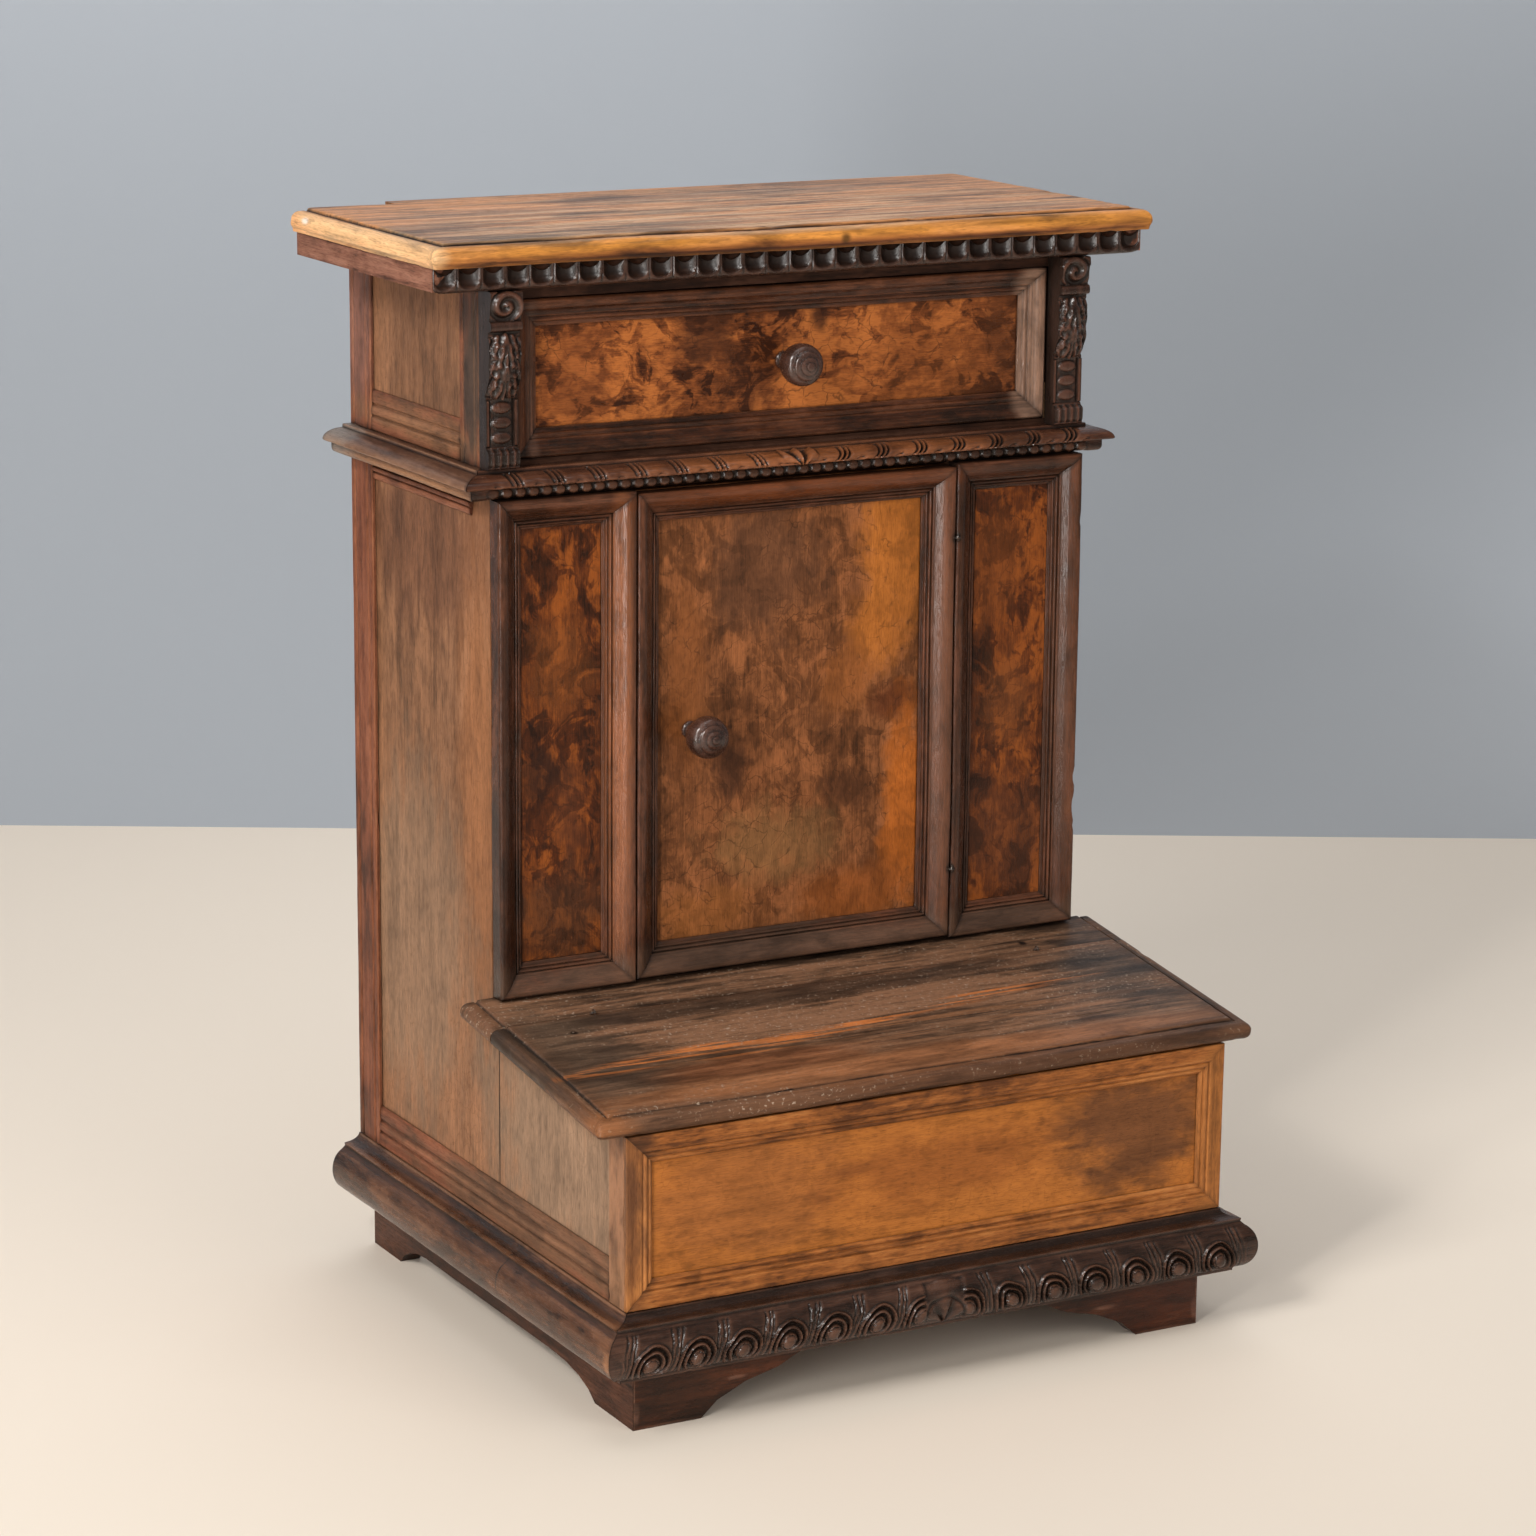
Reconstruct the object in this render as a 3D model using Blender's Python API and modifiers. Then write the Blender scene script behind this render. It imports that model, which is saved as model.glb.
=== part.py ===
"""A walnut prie-dieu: a top on a drawer case, a cupboard below and a hinged kneeler in front.

Metres, +Z up, the front faces -Y. The origin is the middle of the footprint, on the floor.
Depths are measured forwards from the back of the case, and world_y turns one into a Y.
"""
import math

import bmesh
import bpy
from mathutils import Matrix, Vector

# Clearances
GAP = 0.0003
DRAWER_GAP = 0.0008
DOOR_GAP = 0.0008
DOOR_HEAD_GAP = 0.0030
DOOR_FOOT_LIFT = 0.0020
FRAME_FOOT_GAP = 0.0007
LID_GAP = 0.0005
OVERRUN = 0.002
WELD = 0.00003

# Heights, from the floor upwards
SKIRT_HEIGHT = 0.050
BASE_HEIGHT = 0.055
LOWER_CASE_HEIGHT = 0.6075
WAIST_HEIGHT = 0.0235
DRAWER_CASE_HEIGHT = 0.146
BAND_HEIGHT = 0.019
TOP_THICKNESS = 0.019

# Case
CASE_WIDTH = 0.552
LOWER_CASE_DEPTH = 0.268
UPPER_CASE_SETBACK = 0.010
SIDE_JOINT_REACH = 0.0123
BOARD = 0.018
BACK_BOARD = 0.012
SHELF = 0.012
POST_WIDTH = 0.1065
POST_THICKNESS = 0.018
RAIL_THICKNESS = 0.020
DOOR_STOP = 0.004
GUIDE_HEIGHT = 0.030
GUIDE_WIDTH = 0.0072

# Applied side frames
STRIP_RELIEF = 0.004
STRIP_LAP = 0.003
REAR_STILE = 0.043
FRONT_STILE = 0.037
UPPER_RAIL = 0.034
LOWER_TOP_RAIL = 0.018
LOWER_TOP_RAIL_STOP = 0.028
BOTTOM_RAIL = 0.035
STILE_SHARES = ((0, 0), (1, 0), (1, 1), (0.84, 1), (0.80, 0.5), (0.76, 1),
                (0.24, 1), (0.20, 0.5), (0.16, 1), (0, 1))
RAIL_SHARES = ((0, 0), (0, 1), (0.30, 1), (0.36, 0.45), (0.42, 1), (0.58, 0.80),
               (0.64, 0.35), (0.70, 0.75), (0.92, 0.60), (1, 0.30), (1, 0))

# Top
TOP_OVERHANG = 0.059
TOP_FRONT_OVERHANG = 0.036
TOP_REAR_OVERHANG = 0.012
TOP_BORDER = 0.013
NOTCH_WIDTH = 0.095
NOTCH_DEPTH = 0.020
BAND_OVERHANG = 0.054
BAND_REAR_SETBACK = 0.010
FLUTED_STRIP_DEPTH = 0.0225
FLUTED_STRIP_DROP = 0.002
FLUTES = 31
FLUTE_DEPTH = 0.0035
FLUTE_STEPS = 4
FLUTE_LAND_SHARE = 0.22

# Scribed and rounded board edges
GROOVE_WIDTH = 0.003
GROOVE_DEPTH = 0.0014
BORDER_DROP = 0.0008
NOSE_STEPS = 7
TOP_NOSE_END = math.radians(-38)
LID_NOSE_END = math.radians(-90)

# Waist moulding
WAIST_OUT = 0.0295
WAIST_FOOT_OUT = 0.017
WAIST_BEAD_OUT = 0.0215
WAIST_BEAD_ROUND = 0.004
WAIST_BEAD_HEIGHT = 0.0105
WAIST_TIP_HEIGHT = 0.0115
WAIST_NECK_OUT = 0.012
WAIST_LEDGE_OUT = 0.011
WAIST_LEDGE_HEIGHT = 0.003
WAIST_BEAD_STEPS = 3
WAIST_STEPS = 5

# Drawer
DRAWER_LIFT = 0.0055
DRAWER_HEADROOM = 0.0125
DRAWER_FACE_SETBACK = 0.008
DRAWER_FRONT = 0.012
DRAWER_SIDE = 0.012
DRAWER_BOTTOM = 0.008
DRAWER_SIDE_DROP = 0.010
DRAWER_BACK_ROOM = 0.013
DRAWER_FRAME_WIDTH = 0.023
DRAWER_FRAME_RELIEF = 0.012
DRAWER_FRAME_SHARES = ((0, 0), (0, 0.88), (0.08, 1), (0.34, 0.94), (0.44, 0.74), (0.60, 0.66),
                       (0.74, 0.44), (0.80, 0.46), (0.86, 0.26), (1, 0.20), (1, 0))

# Corbels: share of the projection outwards, share of the height upwards
CORBEL_WIDTH = 0.028
CORBEL_OUT = 0.024
CORBEL_SHARES = ((0, 0), (0.62, 0), (0.72, 0.03), (0.72, 0.10), (0.46, 0.13), (0.46, 0.39),
                 (0.60, 0.42), (0.86, 0.50), (0.94, 0.58), (0.90, 0.68), (0.74, 0.72),
                 (0.70, 0.78), (0.86, 0.84), (1, 0.90), (1, 1), (0, 1))

# Frames of the lower front: share of the width inwards, share of the relief outwards
FRAME_WIDTH = 0.026
FRAME_RELIEF = 0.017
FRAME_SHARES = ((0, 0), (0, 0.90), (0.06, 1), (0.24, 1), (0.36, 0.88), (0.50, 0.66),
                (0.64, 0.47), (0.74, 0.42), (0.77, 0.30), (0.86, 0.34), (0.90, 0.20),
                (1, 0.14), (1, 0))
BURR_THICKNESS = 0.002

# Door
DOOR_BOARD = 0.010
DOOR_KNOB_INSET = 0.0557
DOOR_HINGE_INSET = 0.060

# Kneeler
KNEELER_REACH = 0.247
KNEELER_RISE = 0.1852
KNEELER_FRONT = 0.015
KNEELER_FRAME_WIDTH = 0.024
KNEELER_FRAME_RELIEF = 0.005
KNEELER_FRAME_SHARES = ((0, 0), (0, 1), (0.58, 1), (0.62, 0.70), (0.66, 0.96), (0.78, 0.90),
                        (0.82, 0.50), (0.88, 0.62), (1, 0.30), (1, 0))
KNEELER_CORNER = 0.026
BOARD_THICKNESS = 0.016
BOARD_OVERHANG = 0.0305
LID_BORDER = 0.0135
REAR_STRIP = 0.060
LID_OVERHANG = 0.0049
SLOPE = math.radians(7.3)

# Base moulding
BASE_OUT = 0.0265
BASE_FRONT_SHARE = 0.80
BASE_SEAT = 0.032
BASE_LEDGE_OUT = 0.015
BASE_LEDGE_DROP = 0.008
BASE_QUIRK = 0.004
BASE_TORUS_BACK = 0.012
BASE_FILLET_OUT = 0.010
BASE_FILLET_HEIGHT = 0.004
BASE_TORUS_STEPS = 8
BASE_COVE_STEPS = 3

# Feet
SKIRT_THICKNESS = 0.018
SKIRT_SETBACK = 0.012
SKIRT_REAR_SETBACK = 0.002
ARCH_HEIGHT = 0.0195
FRONT_TOE = 0.068
FRONT_SWEEP = 0.080
REAR_TOE = 0.056
REAR_SWEEP = 0.054
SWEEP_STEPS = 4
SWEEP_LEAD_SHARE = (0.15, 0.60)
SWEEP_TRAIL_SHARE = (0.50, 1)
BRACKET_TOE = 0.061
BRACKET_SWEEP = 0.097
BRACKET_SHARES = ((0, 0), (0.15, 0.26), (0.42, 0.50), (0.72, 0.64), (0.95, 0.85), (1, 1))

# Knobs: share of the radius, share of the length, from the tip back to the panel
KNOB_RADIUS = 0.0178
KNOB_LENGTH = 0.050
TENON_RADIUS = 0.0045
TENON_LENGTH = 0.007
KNOB_STEPS = 20
KNOB_SHARES = ((0, 1), (0.20, 1), (0.42, 0.955), (0.62, 0.93), (0.70, 0.90), (0.93, 0.80),
               (1, 0.66), (0.90, 0.50), (0.66, 0.40), (0.64, 0.33), (0.42, 0.25),
               (0.46, 0.19), (0.33, 0.12), (0.42, 0.05), (0.36, 0))

# Wire-loop hinges
WIRE_RADIUS = 0.0008
EYE_RADIUS = 0.0024
LEG_OFFSET = 0.00105
LEG_LENGTH = 0.0135
HINGE_PROUD = 0.0015
EYE_STEPS = 10
POCKET_SIDES = 12
LID_HINGE_INSET = 0.0935

# Heights worked out
CASE_Z = SKIRT_HEIGHT + BASE_HEIGHT
WAIST_Z = CASE_Z + LOWER_CASE_HEIGHT
DRAWER_Z = WAIST_Z + WAIST_HEIGHT
BAND_Z = DRAWER_Z + DRAWER_CASE_HEIGHT
TOP_Z = BAND_Z + BAND_HEIGHT
DRAWER_LOW = DRAWER_Z + DRAWER_LIFT
DRAWER_HIGH = BAND_Z - DRAWER_HEADROOM
BED_Z = DRAWER_LOW - DRAWER_GAP
FLUTED_Z = BAND_Z - FLUTED_STRIP_DROP
HINGE_HEIGHT = CASE_Z + KNEELER_RISE

# Places across worked out
CASE_X = CASE_WIDTH / 2
INSIDE_X = CASE_X - BOARD
STRIP_X = CASE_X + STRIP_RELIEF
DOOR_X = INSIDE_X - POST_WIDTH
DRAWER_X = INSIDE_X - GAP - GUIDE_WIDTH - DRAWER_GAP
TOP_X = CASE_X + TOP_OVERHANG
LID_X = CASE_X + BOARD_OVERHANG
SKIRT_X = STRIP_X - SKIRT_SETBACK

# Depths worked out
UPPER_CASE_DEPTH = LOWER_CASE_DEPTH - UPPER_CASE_SETBACK
SIDE_JOINT_DEPTH = LOWER_CASE_DEPTH + SIDE_JOINT_REACH
KNEELER_DEPTH = LOWER_CASE_DEPTH + KNEELER_REACH
HINGE_DEPTH = LOWER_CASE_DEPTH + REAR_STRIP
TOP_FRONT_DEPTH = UPPER_CASE_DEPTH + TOP_FRONT_OVERHANG
FRAME_FACE = LOWER_CASE_DEPTH + FRAME_RELIEF
DRAWER_FACE = UPPER_CASE_DEPTH - DRAWER_FACE_SETBACK
KNEELER_FACE = KNEELER_DEPTH + KNEELER_FRAME_RELIEF
LID_DEPTH = (KNEELER_FACE + LID_OVERHANG - HINGE_DEPTH) / math.cos(SLOPE)
SKIRT_FACE = KNEELER_FACE - SKIRT_SETBACK
BASE_FRONT = KNEELER_FACE + BASE_OUT * BASE_FRONT_SHARE
REAR_Y = (BASE_FRONT - TOP_REAR_OVERHANG) / 2

X = Vector((1, 0, 0))
Y = Vector((0, 1, 0))
Z = Vector((0, 0, 1))
BOARD_FORWARD = Vector((0, -math.cos(SLOPE), -math.sin(SLOPE)))
BOARD_UP = Vector((0, -math.sin(SLOPE), math.cos(SLOPE)))
SIDES = (("left", -1), ("right", 1))

# Finishes: colour, roughness, metallic
HONEY = ((0.36, 0.17, 0.06), 0.42, 0)
UMBER = ((0.06, 0.035, 0.025), 0.30, 0)
BURR = ((0.30, 0.12, 0.035), 0.34, 0)
RUSSET = ((0.13, 0.06, 0.04), 0.38, 0)
OLIVE = ((0.24, 0.14, 0.075), 0.48, 0)
AMBER = ((0.38, 0.19, 0.07), 0.40, 0)
POPLAR = ((0.42, 0.30, 0.18), 0.70, 0)
IRON = ((0.06, 0.055, 0.05), 0.50, 1)

for old in list(bpy.data.objects):
    bpy.data.objects.remove(old, do_unlink=True)

PARTS = bpy.data.collections.new("prie_dieu")
CUTTERS = bpy.data.collections.new("cutters")
bpy.context.scene.collection.children.link(PARTS)
bpy.context.scene.collection.children.link(CUTTERS)


def world_y(depth):
    """The Y of a place that lies this far forwards of the back of the case."""
    return REAR_Y - depth


def kneeler_top(depth):
    """The height of the kneeling board's upper face at a depth."""
    return HINGE_HEIGHT - (depth - HINGE_DEPTH) * math.tan(SLOPE)


def kneeler_seat(depth):
    """The height of what carries the kneeling board at a depth."""
    return kneeler_top(depth) - BOARD_THICKNESS / math.cos(SLOPE) - GAP


def finish(name, look):
    """A Principled material with the piece's colour, roughness and metallic value."""
    colour, roughness, metallic = look
    material = bpy.data.materials.new(name)
    material.use_nodes = True
    shader = material.node_tree.nodes["Principled BSDF"]
    shader.inputs["Base Color"].default_value = (*colour, 1)
    shader.inputs["Roughness"].default_value = roughness
    shader.inputs["Metallic"].default_value = metallic
    return material


def add_piece(name, data, look):
    """Link one piece and give it its own finish."""
    piece = bpy.data.objects.new(name, data)
    PARTS.objects.link(piece)
    data.materials.append(finish(name, look))
    return piece


def mesh_from(name, shape):
    """Turn a bmesh into mesh data with its faces outwards."""
    bmesh.ops.recalc_face_normals(shape, faces=shape.faces)
    mesh = bpy.data.meshes.new(name)
    shape.to_mesh(mesh)
    shape.free()
    return mesh


def box(name, across, depths, heights, look):
    """A board between two X places, two depths and two heights."""
    size = Vector((across[1] - across[0], depths[1] - depths[0], heights[1] - heights[0]))
    shape = bmesh.new()
    bmesh.ops.create_cube(shape, size=1)
    bmesh.ops.scale(shape, vec=size, verts=shape.verts)
    piece = add_piece(name, mesh_from(name, shape), look)
    piece.location = (sum(across) / 2, world_y(sum(depths) / 2), sum(heights) / 2)
    return piece


def on_side(side, inner, outer):
    """Two X places on one side of the middle, the lower one first."""
    return tuple(sorted((side * inner, side * outer)))


def outline_shape(points, length):
    """Fill a closed outline, extrude it by a length about its plane, and weld its caps."""
    curve = bpy.data.curves.new("outline", "CURVE")
    curve.dimensions = "2D"
    curve.fill_mode = "BOTH"
    curve.extrude = length / 2
    spline = curve.splines.new("POLY")
    spline.points.add(len(points) - 1)
    for target, (across, up) in zip(spline.points, points):
        target.co = (across, up, 0, 1)
    spline.use_cyclic_u = True
    drawn = bpy.data.objects.new("outline", curve)
    CUTTERS.objects.link(drawn)
    bpy.context.view_layer.update()
    mesh = bpy.data.meshes.new_from_object(drawn.evaluated_get(bpy.context.evaluated_depsgraph_get()))
    bpy.data.objects.remove(drawn, do_unlink=True)
    bpy.data.curves.remove(curve)
    shape = bmesh.new()
    shape.from_mesh(mesh)
    bpy.data.meshes.remove(mesh)
    bmesh.ops.remove_doubles(shape, verts=shape.verts, dist=WELD)
    return shape


def mitre_ends(shape, start, end):
    """Slant both ends: each moves outwards by its ratio times the place across."""
    for vertex in shape.verts:
        vertex.co.z += (end if vertex.co.z > 0 else -start) * vertex.co.x


def axes(centre, across, up):
    """The matrix that lays an outline's plane along across and up, about a centre."""
    turn = Matrix((across, up, across.cross(up))).transposed().to_4x4()
    return Matrix.Translation(centre) @ turn


def extrusion(name, points, length, centre, across, up, look, start=0, end=0):
    """A piece with one outline all along, square or mitred at each end."""
    shape = outline_shape(points, length)
    mitre_ends(shape, start, end)
    piece = add_piece(name, mesh_from(name, shape), look)
    piece.matrix_world = axes(centre, across, up)
    return piece


def side_run(name, side, points, depths, base_x, look, front_mitre=0):
    """A length along one side of the case: the outline runs outwards from base_x, and up."""
    centre = Vector((side * base_x, world_y(sum(depths) / 2), 0))
    ends = (front_mitre, 0) if side < 0 else (0, front_mitre)
    return extrusion(name, points, depths[1] - depths[0], centre, X * side, Z, look, *ends)


def arc(centre, radii, first, last, steps):
    """Points on an ellipse from one angle to another, both ends included."""
    angles = [first + (last - first) * step / steps for step in range(steps + 1)]
    return [(centre[0] + radii[0] * math.cos(angle), centre[1] + radii[1] * math.sin(angle))
            for angle in angles]


def bezier(corners, steps):
    """Points on the cubic with these four corners, both ends included."""
    points = []
    for step in range(steps + 1):
        late = step / steps
        early = 1 - late
        weights = (early ** 3, 3 * early ** 2 * late, 3 * early * late ** 2, late ** 3)
        points.append(tuple(sum(weight * corner[axis] for weight, corner in zip(weights, corners))
                            for axis in (0, 1)))
    return points


def scaled(shares, width, height):
    """Turn an outline of shares into sizes."""
    return [(across * width, up * height) for across, up in shares]


def mitred_frame(name, across, heights, depth, width, relief, shares, look):
    """Four lengths of one moulding, glued at their mitres, on a face at one depth."""
    wide = (across[1] - across[0]) / 2
    tall = (heights[1] - heights[0]) / 2
    profile = scaled(shares, width, relief - GAP)
    frame = bmesh.new()
    for outward, reach, half_run in ((-X, wide, tall), (X, wide, tall), (Z, tall, wide), (-Z, tall, wide)):
        stick = outline_shape(profile, half_run * 2)
        caps = [face for face in stick.faces if abs(face.normal.z) > abs(face.normal.xy.length)]
        bmesh.ops.delete(stick, geom=caps, context="FACES")
        mitre_ends(stick, -1, -1)
        bmesh.ops.transform(stick, matrix=axes(outward * reach, -outward, -Y), verts=stick.verts)
        mesh = bpy.data.meshes.new(name)
        stick.to_mesh(mesh)
        stick.free()
        frame.from_mesh(mesh)
        bpy.data.meshes.remove(mesh)
    bmesh.ops.remove_doubles(frame, verts=frame.verts, dist=WELD)
    piece = add_piece(name, mesh_from(name, frame), look)
    piece.location = (sum(across) / 2, world_y(depth + GAP), sum(heights) / 2)
    return piece


def nose_layers(thickness, border, nose_end):
    """The inset and drop of each layer of a board with a scribed line and a rounded edge."""
    radius = (thickness - BORDER_DROP) / 2
    half_groove = GROOVE_WIDTH / 2
    layers = [(border + half_groove, 0), (border, -GROOVE_DEPTH), (border - half_groove, -BORDER_DROP)]
    crown = math.radians(90)
    nose = arc((0, -BORDER_DROP - radius), (radius, radius), crown, nose_end, NOSE_STEPS)
    layers += [(radius - across, up) for across, up in nose]
    if nose_end > LID_NOSE_END:
        layers.append((layers[-1][0], -thickness))
    return layers


def moulded_board(name, layers, path, tail, look):
    """Loft a board's moulded sides through its layers; tail gives the square corners at the back."""
    shape = bmesh.new()
    rings = [[shape.verts.new((x, y, drop)) for x, y in path(inset)] for inset, drop in layers]
    for upper, lower in zip(rings, rings[1:]):
        for index in range(len(upper) - 1):
            shape.faces.new((upper[index], lower[index], lower[index + 1], upper[index + 1]))
    columns = [[ring[-1] for ring in rings]]
    for x, y in tail:
        columns.append([shape.verts.new((x, y, 0)), shape.verts.new((x, y, layers[-1][1]))])
    columns.append([ring[0] for ring in rings])
    for column, following in zip(columns, columns[1:]):
        shape.faces.new(column + following[::-1])
    for ring, end in ((rings[0], 0), (rings[-1], -1)):
        shape.faces.new(ring + [column[end] for column in columns[1:-1]])
    return add_piece(name, mesh_from(name, shape), look)


def add_helper(name, mesh):
    """Link a shape that only cuts a piece or joins it."""
    helper = bpy.data.objects.new(name, mesh)
    CUTTERS.objects.link(helper)
    helper.hide_render = True
    helper.display_type = "WIRE"
    return helper


def rod_cutter(name, start, end, radius, sides=POCKET_SIDES):
    """A cylinder between two points, to cut with."""
    shape = bmesh.new()
    run = end - start
    bmesh.ops.create_cone(shape, cap_ends=True, segments=sides, radius1=radius, radius2=radius,
                          depth=run.length)
    cutter = add_helper(name, mesh_from(name, shape))
    cutter.rotation_euler = run.to_track_quat("Z", "Y").to_euler()
    cutter.location = (start + end) / 2
    return cutter


def combine(target, helper, operation="DIFFERENCE"):
    """Cut a helper from a piece, or join it on."""
    modifier = target.modifiers.new(helper.name, "BOOLEAN")
    modifier.operation = operation
    modifier.solver = "EXACT"
    modifier.object = helper


def pivot(name, place):
    """An empty on a joint's axis."""
    empty = bpy.data.objects.new(name, None)
    empty.empty_display_size = KNOB_LENGTH
    PARTS.objects.link(empty)
    empty.location = place
    return empty


def carry(holder, pieces):
    """Parent pieces to an unturned empty and leave them where they are."""
    for piece in pieces:
        piece.parent = holder
        piece.location = piece.location - holder.location


def side_boards():
    """Boards from the base to the top, shallower above the waist, and the kneeler's side boards."""
    low = CASE_Z + GAP
    step = WAIST_Z - GAP
    high = TOP_Z - GAP
    joint = SIDE_JOINT_DEPTH
    outline = [(0, low), (joint, low), (joint, kneeler_seat(joint)),
               (LOWER_CASE_DEPTH, kneeler_seat(LOWER_CASE_DEPTH)), (LOWER_CASE_DEPTH, step),
               (UPPER_CASE_DEPTH, step), (UPPER_CASE_DEPTH, high), (0, high)]
    rear = joint + GAP
    front = KNEELER_DEPTH - KNEELER_FRONT - GAP
    kneeler = [(rear, low), (front, low), (front, kneeler_seat(front)), (rear, kneeler_seat(rear))]
    for label, side in SIDES:
        centre = Vector((side * (CASE_X - BOARD / 2), REAR_Y, 0))
        extrusion("side_board_" + label, outline, BOARD, centre, -Y, Z, OLIVE)
        extrusion("kneeler_side_" + label, kneeler, BOARD, centre, -Y, Z, OLIVE)


def shelves(door_low):
    """The back, the case floor, the cupboard floor that also stops the door, and the drawer's bed."""
    wide = INSIDE_X - GAP
    back = BACK_BOARD + GAP
    low = CASE_Z + GAP
    floor_front = KNEELER_DEPTH - KNEELER_FRONT - GAP
    box("back_board", (-wide, wide), (0, BACK_BOARD), (low, TOP_Z - GAP), POPLAR)
    box("case_floor", (-wide, wide), (back, floor_front), (low, low + SHELF), POPLAR)
    box("drawer_bed", (-wide, wide), (back, UPPER_CASE_DEPTH), (WAIST_Z, BED_Z), POPLAR)
    narrow = DOOR_X - GAP
    post_back = LOWER_CASE_DEPTH - POST_THICKNESS - GAP
    stop = LOWER_CASE_DEPTH - DOOR_BOARD - GAP
    outline = [(-wide, back), (wide, back), (wide, post_back), (narrow, post_back), (narrow, stop),
               (-narrow, stop), (-narrow, post_back), (-wide, post_back)]
    centre = Vector((0, REAR_Y, door_low + DOOR_STOP - SHELF / 2))
    extrusion("cupboard_floor", outline, SHELF, centre, X, -Y, POPLAR)


def front_timbers(door_low):
    """The posts, the board under the door, the rail over the drawer, and the drawer's guides."""
    depths = (LOWER_CASE_DEPTH - POST_THICKNESS, LOWER_CASE_DEPTH)
    low = CASE_Z + SHELF + GAP * 2
    wide = (GAP - INSIDE_X, INSIDE_X - GAP)
    board_high = door_low + DOOR_STOP - SHELF - GAP
    box("lower_front_board", (GAP - DOOR_X, DOOR_X - GAP), depths, (low, board_high), RUSSET)
    rail = (UPPER_CASE_DEPTH - RAIL_THICKNESS, UPPER_CASE_DEPTH)
    box("drawer_top_rail", wide, rail, (DRAWER_HIGH + DRAWER_GAP, TOP_Z - GAP), RUSSET)
    guide = (BED_Z + GAP, BED_Z + GAP + GUIDE_HEIGHT)
    for label, side in SIDES:
        post = on_side(side, DOOR_X, INSIDE_X - GAP)
        box("front_post_" + label, post, depths, (low, WAIST_Z - GAP), RUSSET)
        inner = on_side(side, DRAWER_X + DRAWER_GAP, INSIDE_X - GAP)
        box("drawer_guide_" + label, inner, (BACK_BOARD + GAP, UPPER_CASE_DEPTH), guide, POPLAR)


def pilasters(low):
    """A moulded frame round a thin burr panel on each post."""
    high = WAIST_Z - GAP
    frames = {}
    for label, side in SIDES:
        across = on_side(side, DOOR_X, CASE_X)
        frames[side] = mitred_frame("pilaster_frame_" + label, across, (low, high), LOWER_CASE_DEPTH,
                                    FRAME_WIDTH, FRAME_RELIEF, FRAME_SHARES, RUSSET)
        inset = FRAME_WIDTH + GAP
        inner = on_side(side, DOOR_X + inset, CASE_X - inset)
        depths = (LOWER_CASE_DEPTH + GAP, LOWER_CASE_DEPTH + BURR_THICKNESS)
        box("pilaster_panel_" + label, inner, depths, (low + inset, high - inset), BURR)
    return frames


def side_strip(side, shares, width, run, place, across):
    """The shape of one length of a side frame, with its outline across and outwards."""
    shape = outline_shape(scaled(shares, width, STRIP_RELIEF - GAP), run)
    bmesh.ops.transform(shape, matrix=axes(place, across, X * side), verts=shape.verts)
    return shape


def side_frame(name, side, heights, uprights, rails):
    """Uprights, each a start and a width, joined by rails, each a depth range, a height and a width."""
    face = side * (CASE_X + GAP)
    shapes = []
    for start, width in uprights:
        place = Vector((face, world_y(start), sum(heights) / 2))
        shapes.append(side_strip(side, STILE_SHARES, width, heights[1] - heights[0], place, -Y))
    for start, end, height, width, across in rails:
        place = Vector((face, world_y((start + end) / 2), height))
        shapes.append(side_strip(side, RAIL_SHARES, width, end - start, place, across))
    piece = add_piece(name, mesh_from(name, shapes[0]), OLIVE)
    for number, shape in enumerate(shapes[1:]):
        label = "%s_length_%d" % (name, number)
        combine(piece, add_helper(label, mesh_from(label, shape)), "UNION")
    return piece


def side_frames():
    """Thin frames on the outside of the case, above and below the waist."""
    upper = (DRAWER_Z + GAP, BAND_Z - GAP)
    lower = (CASE_Z + GAP, WAIST_Z - GAP)
    front = UPPER_CASE_DEPTH - FRONT_STILE
    corner = KNEELER_DEPTH - KNEELER_CORNER
    lap = REAR_STILE - STRIP_LAP
    for label, side in SIDES:
        side_frame("upper_side_frame_" + label, side, upper, [(0, REAR_STILE), (front, FRONT_STILE)],
                   [(lap, front + STRIP_LAP, upper[0], UPPER_RAIL, Z)])
        frame = side_frame("lower_side_frame_" + label, side, lower, [(0, REAR_STILE)],
                           [(lap, LOWER_CASE_DEPTH - LOWER_TOP_RAIL_STOP, lower[1], LOWER_TOP_RAIL, -Z),
                            (lap, corner + STRIP_LAP, lower[0], BOTTOM_RAIL, Z)])
        name = "corner_strip_" + label
        end = KNEELER_DEPTH
        low = CASE_Z + GAP
        relief = STRIP_RELIEF - GAP
        shape = outline_shape([(corner, low), (end, low), (end, kneeler_seat(end)),
                               (corner, kneeler_seat(corner))], relief)
        place = Vector((side * (STRIP_X - relief / 2), REAR_Y, 0))
        bmesh.ops.transform(shape, matrix=axes(place, -Y, Z), verts=shape.verts)
        combine(frame, add_helper(name, mesh_from(name, shape)), "UNION")


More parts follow.
